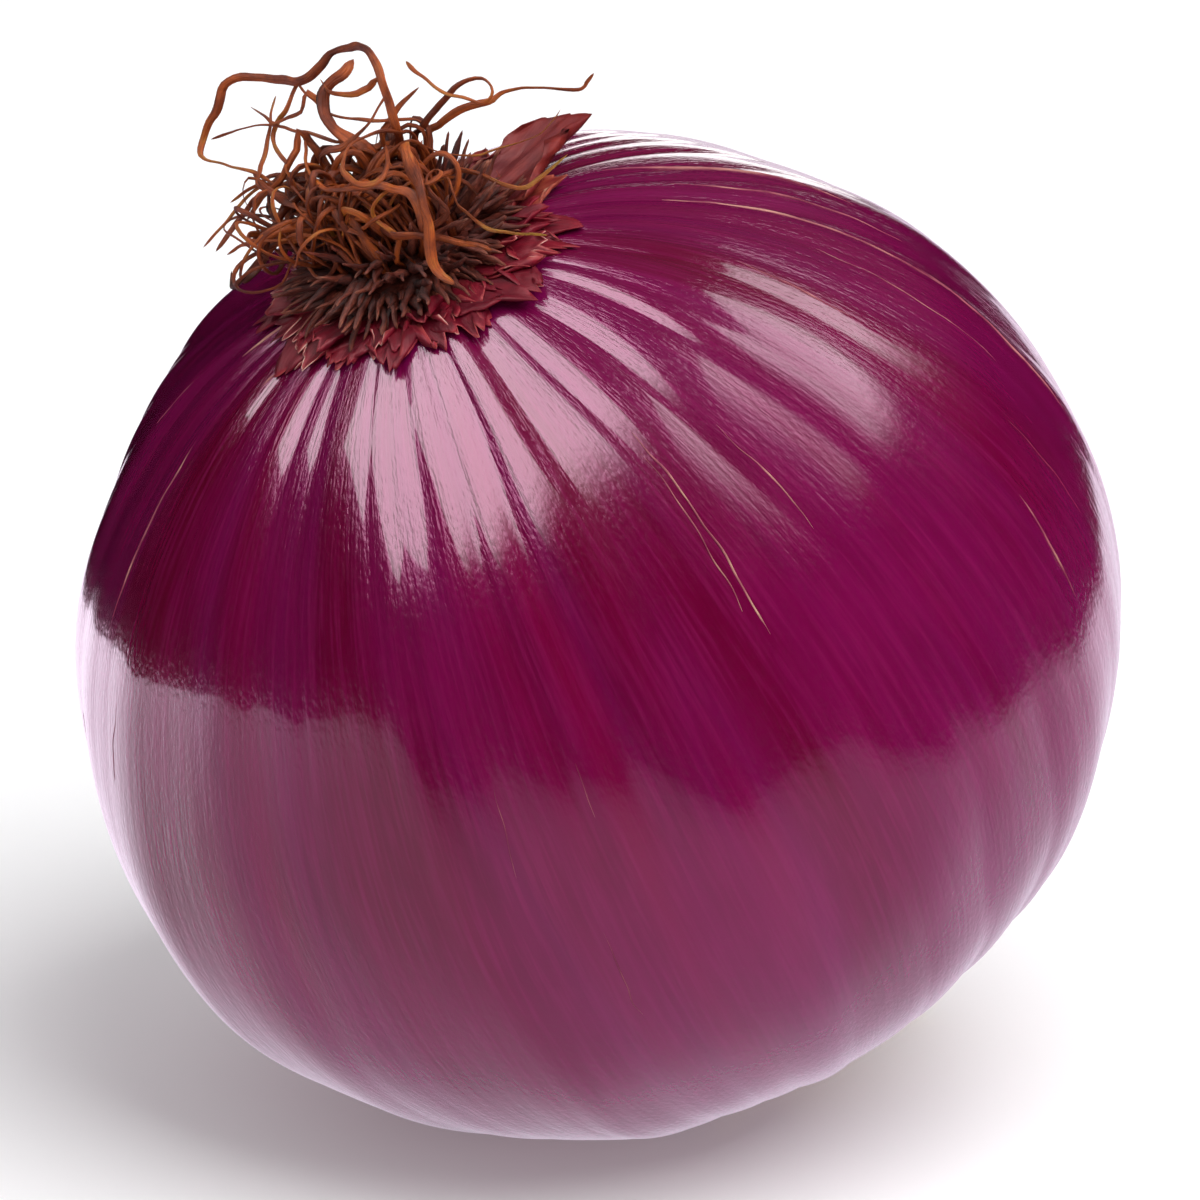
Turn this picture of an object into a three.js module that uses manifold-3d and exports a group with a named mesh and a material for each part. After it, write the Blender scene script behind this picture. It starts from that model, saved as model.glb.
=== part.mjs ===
// A whole red onion with its dried roots and dry neck, resting on its shoulder.
// Millimetres, +Z up, origin at the centre of the small flat spot that it rests on.
// The bulb's own axis runs from the neck to the roots and leans over, so every piece is laid
// out in the bulb's frame (z out of the root end) and one group gives them all the stance.
import * as THREE from 'three';
import { mergeVertices } from 'three/addons/utils/BufferGeometryUtils.js';
import Module from 'manifold-3d';

const wasm = await Module();
wasm.setup();

const DEG = Math.PI / 180;
const TURN = 2 * Math.PI;

const GAP = 0.3; // clear space between neighbouring pieces

// Bulb: two half ellipsoids that share their widest section
const BULB_RADIUS = 40;
const ROOT_HALF = 39.5; // widest section to the root pole
const NECK_HALF = 34.4; // widest section to the neck pole
const OVALNESS = 0.011; // share by which the widest section is out of round
const OVAL_TOWARD = 17 * DEG;

// Stance: the root end leans towards LEAN_TOWARD, counted from +X towards +Y
const LEAN = 26.5 * DEG;
const LEAN_TOWARD = 212 * DEG;
const REST_DEPTH = 1.2; // how deep the resting spot is pressed flat

// Basal plate, the corky disc that the roots grow from
const PLATE_RADIUS = 7.2;
const PLATE_HEIGHT = 2; // its dome over the root pole

// Torn scales of dry skin around the plate, close over the bulb until they are past the stubs
const FLAKE_THICKNESS = 0.5;
const FLAKE_SEAT = GAP + 0.1; // their underside over the bulb
const FLAKE_CUP = 0.35; // how far their long edges curl up
const FLAKE_START = PLATE_RADIUS + GAP + 0.3; // from the bulb's axis

// Short root stubs, the plate's fringe, which lies over the scales
const STUB_COUNT = 26;
const STUB_RADIUS = 0.75;
const STUB_TAPER = 0.55; // share of the radius that is left at the tip
const STUB_START = PLATE_RADIUS - 1.2;
const STUB_LENGTH = 5; // past the plate's edge
const STUB_LENGTH_SPREAD = 1.3; // how much shorter the shortest are
const STUB_SWAY = 0.06; // how far they stray sideways, in radians about the bulb's axis
const STUB_RISE_SPREAD = 0.3;
const STUB_REACH = PLATE_RADIUS + STUB_LENGTH;
const STUB_HEIGHT = FLAKE_SEAT + FLAKE_THICKNESS + FLAKE_CUP + GAP + STUB_RADIUS; // over the bulb

// Roots
const ROOT_RADIUS = 0.5;
const ROOT_TAPER = 0.45;
const ROOT_FIELD = STUB_START - 0.6; // the roots leave the plate inside this radius
const ROOT_STEP = 1.35; // spacing of the sections along a root
const ROOT_SLACK = 0.55; // sections stand apart, so the strands between them come closer

// Neck: a dry stalk that folds over and lies just clear of the floor
const NECK_WIDTH = 8;
const NECK_BASE_THICKNESS = 4.4;
const NECK_END_THICKNESS = 2;
const NECK_RUN = 7; // the stretch that lies level after the fold
const NECK_BURIED = 3; // how far the stalk starts inside the bulb, before it is cut to fit
const NECK_FLUTES = 7;
const NECK_FLUTE_DEPTH = 0.2; // share of the radius at the cut end
const SHEATH_THICKNESS = 0.5;
const SHEATH_WIDTH = 4.2;
const SHEATH_LENGTH = 6;
const SHEATH_SPREAD = 0.6; // how far along the neck's half width the outer ones start
const SHEATH_CUP = 0.3;

const colours = { skin: 0x6a1242, plate: 0x4c2922, root: 0x8a4a26, flake: 0x86303c, neck: 0xa9805a };

function material(name, roughness) {
  return new THREE.MeshStandardMaterial({ color: colours[name], roughness, metalness: 0 });
}

const skinMaterial = material('skin', 0.3);
const plateMaterial = material('plate', 0.9);
const rootMaterial = material('root', 0.75);
const flakeMaterial = material('flake', 0.6);
const neckMaterial = material('neck', 0.7);

// --- The bulb's surface ---------------------------------------------------------------------

// The point on the bulb at a polar angle from the root pole, raised along the surface's normal.
function bulbPoint(polar, azimuth, raised = 0) {
  const oval = 1 + OVALNESS * Math.cos(2 * (azimuth - OVAL_TOWARD));
  const half = polar <= Math.PI / 2 ? ROOT_HALF : NECK_HALF;
  const rho = BULB_RADIUS * Math.sin(polar);
  const outward = new THREE.Vector3(
    Math.sin(polar) * Math.cos(azimuth) / BULB_RADIUS,
    Math.sin(polar) * Math.sin(azimuth) / BULB_RADIUS,
    Math.cos(polar) / half,
  ).normalize();
  return new THREE.Vector3(rho * oval * Math.cos(azimuth), rho * oval * Math.sin(azimuth),
    half * Math.cos(polar)).addScaledVector(outward, raised);
}

// The same on the root side, from the distance to the bulb's axis.
function overRootEnd(rho, azimuth, height) {
  return bulbPoint(Math.asin(rho / BULB_RADIUS), azimuth, height);
}

// Height of a point over the root half of the bulb, and the direction straight off it.
function heightOver(point) {
  const stretched = new THREE.Vector3(point.x / BULB_RADIUS, point.y / BULB_RADIUS, point.z / ROOT_HALF);
  const share = stretched.length();
  const outward = new THREE.Vector3(point.x / BULB_RADIUS ** 2, point.y / BULB_RADIUS ** 2,
    point.z / ROOT_HALF ** 2).normalize();
  return { height: point.length() * (1 - 1 / share), outward };
}

// --- Solids ---------------------------------------------------------------------------------

function solidOf(geometry) {
  const bare = geometry.clone();
  bare.deleteAttribute('normal');
  bare.deleteAttribute('uv');
  const merged = mergeVertices(bare, 1e-4);
  return new wasm.Manifold(new wasm.Mesh({
    numProp: 3,
    vertProperties: merged.attributes.position.array,
    triVerts: new Uint32Array(merged.index.array),
  }));
}

function geometryOf(solid) {
  const mesh = solid.getMesh();
  const geometry = new THREE.BufferGeometry();
  geometry.setAttribute('position', new THREE.BufferAttribute(mesh.vertProperties, 3));
  geometry.setIndex(new THREE.BufferAttribute(mesh.triVerts, 1));
  geometry.computeVertexNormals();
  return geometry;
}

// Moves every vertex of a geometry to where place(x, y, z) says.
function reshape(geometry, place) {
  const position = geometry.getAttribute('position');
  for (let i = 0; i < position.count; i++) {
    const p = place(position.getX(i), position.getY(i), position.getZ(i));
    position.setXYZ(i, p.x, p.y, p.z);
  }
  geometry.computeVertexNormals();
  return geometry;
}

// A sphere drawn onto the bulb's surface; raised > 0 gives the bulb with a skin of clearance.
function bulbGeometry(raised = 0) {
  const around = 44;
  const along = 28;
  const sphere = new THREE.SphereGeometry(1, around, along);
  sphere.rotateX(Math.PI / 2);
  return reshape(sphere, (x, y, z) => {
    const polar = Math.acos(THREE.MathUtils.clamp(z, -1, 1));
    return bulbPoint(polar, Math.atan2(y, x), raised);
  });
}

// A strand along a line of points, of a radius that tapers to a share of itself at the tip.
function strandGeometry(points, radius, taper, sides) {
  const steps = points.length - 1;
  const curve = new THREE.CatmullRomCurve3(points, false, 'centripetal');
  const frames = curve.computeFrenetFrames(steps, false);
  return reshape(new THREE.CylinderGeometry(1, 1, 1, sides, steps), (x, y, z) => {
    const i = Math.round((y + 0.5) * steps);
    const share = i / steps;
    const size = radius * THREE.MathUtils.lerp(1, taper, share);
    return curve.getPointAt(share)
      .addScaledVector(frames.binormals[i], x * size)
      .addScaledVector(frames.normals[i], z * size);
  });
}

// --- Stance ---------------------------------------------------------------------------------

// Where the bulb touches the floor before it is pressed flat: the point of an ellipsoid whose
// normal is straight down, in upright axes counted from the bulb's centre.
const leanDirection = new THREE.Vector3(Math.cos(LEAN_TOWARD), Math.sin(LEAN_TOWARD), 0);
const rootDirection = leanDirection.clone().multiplyScalar(Math.sin(LEAN));
rootDirection.z = Math.cos(LEAN);
const depth = Math.hypot(NECK_HALF * Math.cos(LEAN), BULB_RADIUS * Math.sin(LEAN));
const touchOffset = (BULB_RADIUS ** 2 - NECK_HALF ** 2) * Math.cos(LEAN) * Math.sin(LEAN) / depth;

const onion = new THREE.Group();
const stance = new THREE.Group();
stance.quaternion.setFromUnitVectors(new THREE.Vector3(0, 0, 1), rootDirection);
stance.position.copy(leanDirection).multiplyScalar(-touchOffset);
stance.position.z = depth - REST_DEPTH;
onion.add(stance);
stance.updateMatrixWorld(true);

const upright = stance.quaternion.clone().invert(); // turns upright axes into the bulb's own

function addPiece(name, geometry, material, group = stance) {
  const mesh = new THREE.Mesh(geometry, material);
  mesh.name = name;
  group.add(mesh);
}

function numbered(name, i) {
  return `${name}_${String(i + 1).padStart(2, '0')}`;
}

// --- Bulb -----------------------------------------------------------------------------------

function restingBulb() {
  const size = 4 * BULB_RADIUS;
  const floor = new THREE.BoxGeometry(size, size, size).translate(0, 0, -size / 2);
  floor.applyMatrix4(stance.matrixWorld.clone().invert());
  return geometryOf(solidOf(bulbGeometry()).subtract(solidOf(floor)));
}

addPiece('bulb', restingBulb(), skinMaterial);
const bulbWithClearance = solidOf(bulbGeometry(GAP));

// --- Basal plate and its fringe of stubs ------------------------------------------------------

const plateTop = bulbPoint(0, 0);

// Height of the plate's dome over its middle plane at a distance from the axis.
function domeHeight(rho) {
  return PLATE_HEIGHT * Math.sqrt(Math.max(0, 1 - (rho / PLATE_RADIUS) ** 2));
}

// Stubs differ in reach, height and sway, so that the fringe is uneven. They start in the plate.
function stubLine(i) {
  const azimuth = (i / STUB_COUNT) * TURN;
  const reach = STUB_REACH - STUB_LENGTH_SPREAD * Math.abs(Math.sin(2.7 * i));
  const height = STUB_HEIGHT + STUB_RISE_SPREAD * Math.sin(1.9 * i);
  const sway = STUB_SWAY * Math.sin(4.1 * i);
  return [
    overRootEnd(STUB_START, azimuth, domeHeight(STUB_START)),
    overRootEnd((STUB_START + reach) / 2, azimuth + sway / 2, height),
    overRootEnd(reach, azimuth + sway, height),
  ];
}

const stubs = Array.from({ length: STUB_COUNT }, (_, i) => stubLine(i));

function plateGeometry() {
  const dome = reshape(new THREE.SphereGeometry(1, 24, 10), (x, y, z) => (
    new THREE.Vector3(PLATE_RADIUS * x, PLATE_RADIUS * y, plateTop.z + PLATE_HEIGHT * z)));
  const whole = stubs.reduce(
    (plate, line) => plate.add(solidOf(strandGeometry(line, STUB_RADIUS, STUB_TAPER, 5))), solidOf(dome));
  return geometryOf(whole.subtract(bulbWithClearance));
}

addPiece('basal_plate', plateGeometry(), plateMaterial);

// --- Torn scales around the plate --------------------------------------------------------------

// [azimuth, width at the widest, length, lift of the tip], in degrees and millimetres
const flakes = [
  [-172, 3.6, 6.0, 0.6], [-151, 3.2, 5.8, 0.3], [-129, 4.0, 7.0, 0.5], [-105, 4.2, 7.6, 0.3],
  [-83, 3.4, 6.2, 0.5], [-59, 4.6, 8.0, 0.6], [-34, 4.0, 6.4, 0.4], [-12, 3.4, 5.6, 0.7],
  [16, 5.4, 8.6, 3.6], [43, 3.6, 5.8, 0.6], [67, 4.0, 7.2, 0.4], [92, 4.2, 6.2, 0.8],
  [117, 3.4, 7.4, 0.3], [141, 3.8, 5.6, 0.5], [165, 3.6, 6.8, 0.4],
];

// A point of a scale: side from -1 to 1 across it, share from 0 at its base to 1 at its tip, and
// layer from 0 on its underside to 1 on top. It is widest past the middle, with a torn end.
function flakePoint([azimuth, width, length, lift], side, share, layer) {
  const widthThere = width * Math.sin(Math.PI * (0.22 + 0.54 * share));
  const torn = 1 - (0.1 * side * side + 0.05 * Math.sin(3 * side + azimuth)) * share;
  const rho = FLAKE_START + length * share * torn;
  const turned = side * widthThere / (2 * (FLAKE_START + length * share));
  const pastStubs = Math.max(0, rho - STUB_REACH) / (FLAKE_START + length - STUB_REACH);
  const height = FLAKE_SEAT + lift * pastStubs ** 1.3 + FLAKE_CUP * side * side * share;
  return overRootEnd(rho, azimuth * DEG + turned, height + layer * FLAKE_THICKNESS);
}

function flakeGeometry(flake) {
  return reshape(new THREE.BoxGeometry(2, 1, 1, 4, 6, 1), (x, y, z) => (
    flakePoint(flake, -x, y + 0.5, z + 0.5)));
}

flakes.forEach((flake, i) => addPiece(numbered('skin_flake', i), flakeGeometry(flake), flakeMaterial));

// --- Roots ------------------------------------------------------------------------------------

// Each root's thickness as a share of ROOT_RADIUS, then its route in upright axes from the
// plate's centre: x across, y back, z up, from over the plate to the tip.
const rootRoutes = [
  [1.2, [1, 2, 5], [0, 2, 8.7], [-1.8, 2, 13], [-4.5, 1.5, 15.2], [-6.7, 0.5, 13.5], [-11.8, -1, 14],
    [-13.8, -1, 12.8]],
  [1.1, [-1, -3, 3.6], [-5.4, -4, 4.3], [-8.1, -4, 5.2], [-11.1, -3, 7], [-15.3, -1.5, 7.9],
    [-14.6, -1, 9.8], [-13.7, -1, 11.4]],
  [0.9, [-2, 2, 6], [-3.9, 1, 8.6], [-5.2, 1, 10.4], [-6.4, 1, 11.6], [-8.1, 2, 11.7]],
  [1.4, [-2, 4, 5], [-4.2, 4, 7.3], [-5.9, 4, 9], [-6, 4, 10.7], [-4.6, 3.6, 12.4],
    [-3.8, 3.4, 13.6]],
  [0.9, [1.5, 4, 6], [0, 4.5, 8.6], [-1.5, 4.5, 10.8], [-3.2, 4.5, 10.2], [-5, 5.2, 10]],
  [1.1, [-1, -1, 4.8], [-3.9, -1, 8.1], [-6, -1.5, 8.6], [-7.7, -1.5, 9.5], [-11.1, -1, 11.2]],
  [0.8, [-3, 0, 4], [-7, 0, 7], [-9.9, 0, 9.5], [-12.2, 0.5, 9], [-14.1, 1, 8.3]],
  [0.9, [-3.5, -2, 2], [-8, -2.5, 5], [-10.4, -2.5, 6.6], [-10.1, -2.5, 9.2], [-9.5, -2, 12.6]],
  [1.0, [-4, 1, 3], [-8.6, 1, 6.1], [-10.7, 0.5, 5.3], [-12.2, 0, 4.1], [-13.3, -1, 2.5],
    [-14.8, -1.5, 0.8]],
  [1.1, [-4, -2, 1.6], [-7.5, -2.5, 4.6], [-9.6, -2.5, 5.2], [-11.6, -2.5, 4.2], [-12.8, -3, 2.8],
    [-13.9, -3, 1]],
  [1.2, [-3, -4, 1], [-5.4, -5, 3.8], [-8.6, -5, 3.7], [-10.7, -4.5, 2.6], [-12.8, -4, 0.9]],
  [1.2, [1, 0.5, 6], [3.4, 1, 9.4], [4.7, 1, 11.1], [2.9, 1, 11.7], [1.4, 0.5, 12.8], [0.2, 0, 14.2]],
  [0.8, [2.5, 0, 5], [4.2, 0, 10], [6.8, 0.6, 11.2], [6.2, 1.6, 12.6], [4.2, 2.2, 11.8],
    [3.1, 3, 10.4], [1.8, 3.2, 8.2]],
  [0.9, [3, 1.5, 5], [5.3, 2, 10], [8.1, 2, 11.4], [10.6, 2, 11.6], [13.4, 2, 11.5], [14.2, 2, 12.5]],
  [0.9, [3, -0.5, 2.6], [5, -1.5, 5.6], [6.8, -2, 5.8], [8.7, -2, 5.1], [10.6, -2, 6],
    [12.1, -2, 7.4]],
  [0.9, [2.5, -3, 4.2], [4.2, -5, 6], [5.1, -5.5, 4.6], [6.6, -5.5, 3.2], [8.5, -5, 2.4],
    [10.6, -4.6, 2.1]],
  [1.0, [2.4, -0.4, 4.6], [3.6, -0.2, 6.8], [5.3, -0.4, 7.3], [8.1, -0.6, 7.7], [10.6, -0.4, 8.4],
    [11.9, 0, 10]],
  [1.3, [0, -1, 5.4], [0.4, -3.5, 8.2], [1.3, -6, 6.4], [1.9, -7.2, 4.1], [2.5, -8, 1.5],
    [3.8, -8.2, 0.3]],
  [1.0, [-3, -2, 5], [-4.4, -2.6, 8], [-4.4, -4, 7.6], [-3.5, -5, 6.6], [-2.2, -5.4, 6.3],
    [-1.2, -5, 7], [-1, -4, 8.2]],
  [0.8, [1.5, -1, 5], [2.6, -3, 8.4], [3.2, -4.4, 8.6], [2.4, -5.6, 8]],
  [0.9, [-1, -4, 1.5], [-2, -6.5, 4.4], [-0.6, -7.4, 3.4], [0.2, -6.8, 5.2], [-1.6, -7.2, 5.6]],
  [1.0, [-5, -1, 3.5], [-6.6, -3.6, 7.6], [-6.4, -5, 6.2], [-4.4, -6.4, 4.8], [-1.2, -7, 4.6],
    [0.6, -7.8, 4]],
  [1.1, [-4, -3.5, 0], [-6.8, -6.2, 2.2], [-9, -6, 1.6], [-11, -5.2, 0.4]],
  [0.8, [3.5, 3.5, 4.6], [6, 5, 7.4], [9, 6.2, 8.6], [8.4, 8, 9.6], [6, 8.6, 9]],
  [1.0, [0, 5, 4], [-1.5, 7.6, 6.4], [-4.5, 9, 7.6], [-8, 9.4, 6.4], [-9.6, 9, 4.2]],
  [0.9, [1.5, 6, 4], [3, 9, 6.4], [2, 11.4, 7.6], [-1, 12, 8.6], [-3, 11, 10]],
  [0.9, [-4, 3, 3], [-7.4, 5, 5.6], [-10.6, 5.6, 6.6], [-12.4, 4.4, 5]],
  [0.8, [-2, 6, 4], [-5, 8.4, 5], [-8.4, 8.6, 3.6], [-10.4, 7, 1.8]],
];

// Places on the plate for the roots to leave from, spread evenly like seeds on a sunflower.
function plateSpots(count) {
  const goldenAngle = 137.508 * DEG;
  return Array.from({ length: count }, (_, i) => {
    const rho = ROOT_FIELD * Math.sqrt((i + 0.5) / count);
    return { rho, azimuth: i * goldenAngle };
  });
}

function spotPoint({ rho, azimuth }, above) {
  return new THREE.Vector3(rho * Math.cos(azimuth), rho * Math.sin(azimuth),
    plateTop.z + domeHeight(rho) + above);
}

// Swaps spots between routes until no swap brings the routes' first points nearer to them.
function shareOutSpots(starts) {
  const spots = plateSpots(starts.length);
  const miss = (i, k) => spotPoint(spots[k], 0).distanceToSquared(starts[i]);
  for (let swapped = true; swapped;) {
    swapped = false;
    for (let i = 0; i < starts.length; i++) {
      for (let k = i + 1; k < starts.length; k++) {
        if (miss(i, k) + miss(k, i) < miss(i, i) + miss(k, k) - 1e-6) {
          [spots[i], spots[k]] = [spots[k], spots[i]];
          swapped = true;
        }
      }
    }
  }
  return spots;
}

// Rounds a line's corners, keeping its ends.
function rounded(line) {
  const passes = 6;
  for (let pass = 0; pass < passes; pass++) {
    for (let i = 1; i < line.length - 1; i++) {
      const mean = line[i - 1].clone().add(line[i + 1]).multiplyScalar(0.5);
      line[i].lerp(mean, 0.5);
    }
  }
  return line;
}

// Samples each route at an even spacing, from its spot on the plate.
function laidOutRoots() {
  const routes = rootRoutes.map(([, ...route]) => (
    route.map((p) => new THREE.Vector3(...p).applyQuaternion(upright).add(plateTop))));
  const spots = shareOutSpots(routes.map((points) => points[0]));
  return routes.map((points, i) => {
    const radius = ROOT_RADIUS * rootRoutes[i][0];
    const base = spotPoint(spots[i], radius + GAP);
    const curve = new THREE.CatmullRomCurve3([base, ...points], false, 'centripetal');
    const steps = Math.max(8, Math.round(curve.getLength() / ROOT_STEP));
    const line = rounded(curve.getSpacedPoints(steps));
    return { radius, line, start: line.map((p) => p.clone()) };
  });
}

// Pushes two points apart to a distance; a point that isn't free stays where it is.
function pushApart(a, b, distance, aFree, bFree) {
  const between = a.clone().sub(b);
  const missing = distance - between.length();
  if (missing <= 0 || !(aFree || bFree)) return;
  between.setLength(missing / (aFree && bFree ? 2 : 1));
  if (aFree) a.add(between);
  if (bFree) b.sub(between);
}

const HELD_POINTS = 2; // the sections at a root's base, which stay where they are
const SMOOTH_PASSES = 380;
const LAST_PASSES = 20; // these only push

// Pushes a root's free point off the bulb or the plate's dome.
function liftOff({ point, root }) {
  const { height, outward } = heightOver(point);
  const overPlate = Math.hypot(point.x, point.y) < PLATE_RADIUS;
  const lowest = root.radius + 2 * GAP + (overPlate ? PLATE_HEIGHT : 0);
  if (height < lowest) point.addScaledVector(outward, lowest - height);
}

// Evens the moves out along a root, so that it stays smooth.
function evenOut({ line, start }) {
  const moved = line.map((point, i) => point.clone().sub(start[i]));
  for (let i = HELD_POINTS; i < line.length; i++) {
    const next = moved[Math.min(i + 1, line.length - 1)];
    const mean = moved[i - 1].clone().add(next).multiplyScalar(0.5);
    line[i].copy(start[i]).add(moved[i].clone().lerp(mean, 0.4));
  }
}

// Lets the roots lie against each other instead of through each other: each pass moves points
// that are too close to another root, an obstacle or the bulb.
function settle(roots, obstacles) {
  const sameBend = 4; // sections of one root this near along it are never apart
  const all = roots.flatMap((root) => (
    root.line.map((point, i) => ({ root, point, i, free: i >= HELD_POINTS }))));
  for (let pass = 0; pass < SMOOTH_PASSES + LAST_PASSES; pass++) {
    all.forEach((a, n) => {
      for (const b of all.slice(n + 1)) {
        if (a.root === b.root && b.i - a.i < sameBend) continue;
        const distance = a.root.radius + b.root.radius + GAP + ROOT_SLACK;
        pushApart(a.point, b.point, distance, a.free, b.free);
      }
      for (const { point, radius } of obstacles) {
        pushApart(a.point, point, a.root.radius + radius + GAP, a.free, false);
      }
      if (a.free) liftOff(a);
    });
    if (pass < SMOOTH_PASSES) roots.forEach(evenOut);
  }
}

// Points in the stubs and scales that the roots keep clear of, each with the radius round it.
function obstaclesOverBulb() {
  const pointSpread = 0.4; // adds to the radius, because the points stand apart
  const alongFlake = [0.15, 0.35, 0.55, 0.75, 0.95];
  const acrossFlake = [-0.9, -0.3, 0.3, 0.9];
  const fromStubs = stubs.flatMap((line) => new THREE.CatmullRomCurve3(line).getPoints(7))
    .map((point) => ({ point, radius: STUB_RADIUS + pointSpread }));
  const fromFlakes = flakes.flatMap((flake) => alongFlake.flatMap((share) => acrossFlake.map((side) => (
    { point: flakePoint(flake, side, share, 0.5), radius: FLAKE_THICKNESS / 2 + pointSpread }))));
  return [...fromStubs, ...fromFlakes];
}

const roots = laidOutRoots();
settle(roots, obstaclesOverBulb());
roots.forEach(({ radius, line }, i) => (
  addPiece(numbered('root', i), strandGeometry(line, radius, ROOT_TAPER, 6), rootMaterial)));

// --- Neck -------------------------------------------------------------------------------------

// The fold starts at the neck pole, heading straight out of the bulb, and ends level at the
// height where the flattened stalk just clears the floor.
const neckPole = bulbPoint(Math.PI, 0).applyMatrix4(stance.matrixWorld);
const neckLevel = NECK_END_THICKNESS / 2 + GAP;
const foldRadius = (neckPole.z - neckLevel) / (1 - Math.sin(LEAN));
const foldLength = foldRadius * (Math.PI / 2 - LEAN);
const neckAhead = leanDirection.clone().negate();
const neckAcross = neckAhead.clone().cross(new THREE.Vector3(0, 0, 1));

// The centre line in upright axes; along counts from the pole, and is negative in the bulb.
function neckPoint(along) {
  const steepness = LEAN + THREE.MathUtils.clamp(along / foldRadius, 0, Math.PI / 2 - LEAN);
  const inBulb = Math.min(0, along);
  const level = Math.max(0, along - foldLength);
  const ahead = foldRadius * (Math.cos(LEAN) - Math.cos(steepness)) + level + inBulb * Math.sin(LEAN);
  const down = foldRadius * (Math.sin(steepness) - Math.sin(LEAN)) + inBulb * Math.cos(LEAN);
  const outward = neckAhead.clone().multiplyScalar(Math.cos(steepness));
  outward.z = Math.sin(steepness);
  const centre = neckPole.clone().addScaledVector(neckAhead, ahead);
  centre.z -= down;
  return { centre, outward };
}

function neckGeometry() {
  const sides = 4 * NECK_FLUTES;
  const steps = 14;
  const stalk = reshape(new THREE.CylinderGeometry(1, 1, 1, sides, steps), (x, y, z) => {
    const along = THREE.MathUtils.lerp(-NECK_BURIED, foldLength + NECK_RUN, y + 0.5);
    const { centre, outward } = neckPoint(along);
    const share = THREE.MathUtils.clamp(along / (foldLength + NECK_RUN), 0, 1);
    const thickness = THREE.MathUtils.lerp(NECK_BASE_THICKNESS, NECK_END_THICKNESS,
      THREE.MathUtils.smoothstep(along, 0, foldLength));
    const flute = (1 + Math.cos(NECK_FLUTES * Math.atan2(z, x))) / 2;
    const fluted = 1 - NECK_FLUTE_DEPTH * share * flute;
    return centre.addScaledVector(neckAcross, x * fluted * NECK_WIDTH / 2)
      .addScaledVector(outward, z * fluted * thickness / 2);
  });
  const clearance = bulbGeometry(GAP).applyMatrix4(stance.matrixWorld);
  return geometryOf(solidOf(stalk).subtract(solidOf(clearance)));
}

addPiece('neck', neckGeometry(), neckMaterial, onion);

// Dry leaf ends that fan out past the cut end of the neck: [turn, lift of the tip].
const sheaths = [[-26 * DEG, 1.2], [0, 0.5], [26 * DEG, 1.8]];

function sheathGeometry([turn, lift]) {
  const { centre } = neckPoint(foldLength + NECK_RUN);
  const up = new THREE.Vector3(0, 0, 1);
  const heading = neckAhead.clone().applyAxisAngle(up, turn);
  const across = neckAcross.clone().applyAxisAngle(up, turn);
  const start = centre.addScaledVector(neckAcross, -Math.sin(turn) * SHEATH_SPREAD * NECK_WIDTH)
    .addScaledVector(heading, 3 * GAP);
  return reshape(new THREE.BoxGeometry(2, 1, 1, 4, 5, 1), (x, y, z) => {
    const share = y + 0.5;
    const widthThere = SHEATH_WIDTH * (0.42 + 0.58 * share) * (1 - 0.5 * share ** 3);
    const point = start.clone()
      .addScaledVector(heading, SHEATH_LENGTH * share * (1 - 0.2 * x * x))
      .addScaledVector(across, x * widthThere / 2);
    point.z += (lift * share + SHEATH_CUP * x * x) * share + z * SHEATH_THICKNESS;
    return point;
  });
}

sheaths.forEach((sheath, i) => (
  addPiece(numbered('neck_sheath', i), sheathGeometry(sheath), neckMaterial, onion)));

export default onion;
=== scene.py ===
"""A whole red onion resting on its side shoulder, root tuft up and towards the left.

Lengths are in millimetres until a mesh is made. "Polar" is the angle from the root end of the bulb,
"azimuth" the angle round its axis. The bulb frame has its z axis out of the root end.
"""
import math

import bpy
import numpy as np
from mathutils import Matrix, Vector


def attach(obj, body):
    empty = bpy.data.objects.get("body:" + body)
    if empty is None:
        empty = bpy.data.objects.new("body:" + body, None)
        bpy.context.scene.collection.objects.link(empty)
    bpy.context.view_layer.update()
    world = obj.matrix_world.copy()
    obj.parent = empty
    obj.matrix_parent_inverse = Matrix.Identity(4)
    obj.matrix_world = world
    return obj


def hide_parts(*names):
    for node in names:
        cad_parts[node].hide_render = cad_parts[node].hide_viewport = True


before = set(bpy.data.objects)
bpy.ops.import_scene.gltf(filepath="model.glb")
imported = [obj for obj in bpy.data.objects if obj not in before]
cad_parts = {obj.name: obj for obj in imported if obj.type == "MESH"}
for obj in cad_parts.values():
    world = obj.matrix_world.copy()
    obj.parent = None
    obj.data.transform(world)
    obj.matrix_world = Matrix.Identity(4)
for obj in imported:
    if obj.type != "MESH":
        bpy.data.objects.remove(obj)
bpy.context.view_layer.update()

MM = 0.001

# The bulb and how it stands, as in the frame.
BULB_RADIUS = 40.0
ROOT_HALF = 39.5
NECK_HALF = 34.4
OVALNESS = 0.011
OVAL_TOWARD = math.radians(17)
LEAN = math.radians(26.5)
LEAN_TOWARD = math.radians(212)
REST_DEPTH = 1.2
PLATE_RADIUS = 7.2
PLATE_HEIGHT = 2.0
CROWN_RINGS = 20
CROWN_SIDES = 72
CROWN_SKIRT = 0.9
CROWN_TONE = 0.35

# The skin's mesh and its ribs.
SKIN_COLUMNS = 440
SKIN_ROWS = 224
RIB_COUNT = 41
RIB_UNEVENNESS = 0.55
BROAD_WAVES = [(5, 0.14), (9, 0.13), (14, 0.13), (23, 0.085)]
DENT_LENGTH = 17.0
DENT_HEIGHT = 0.10
DENT_COUNT = 14
MEAN_RELIEF = 0.33
PAPERY_NECK = (2.66, 3.08)
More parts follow.
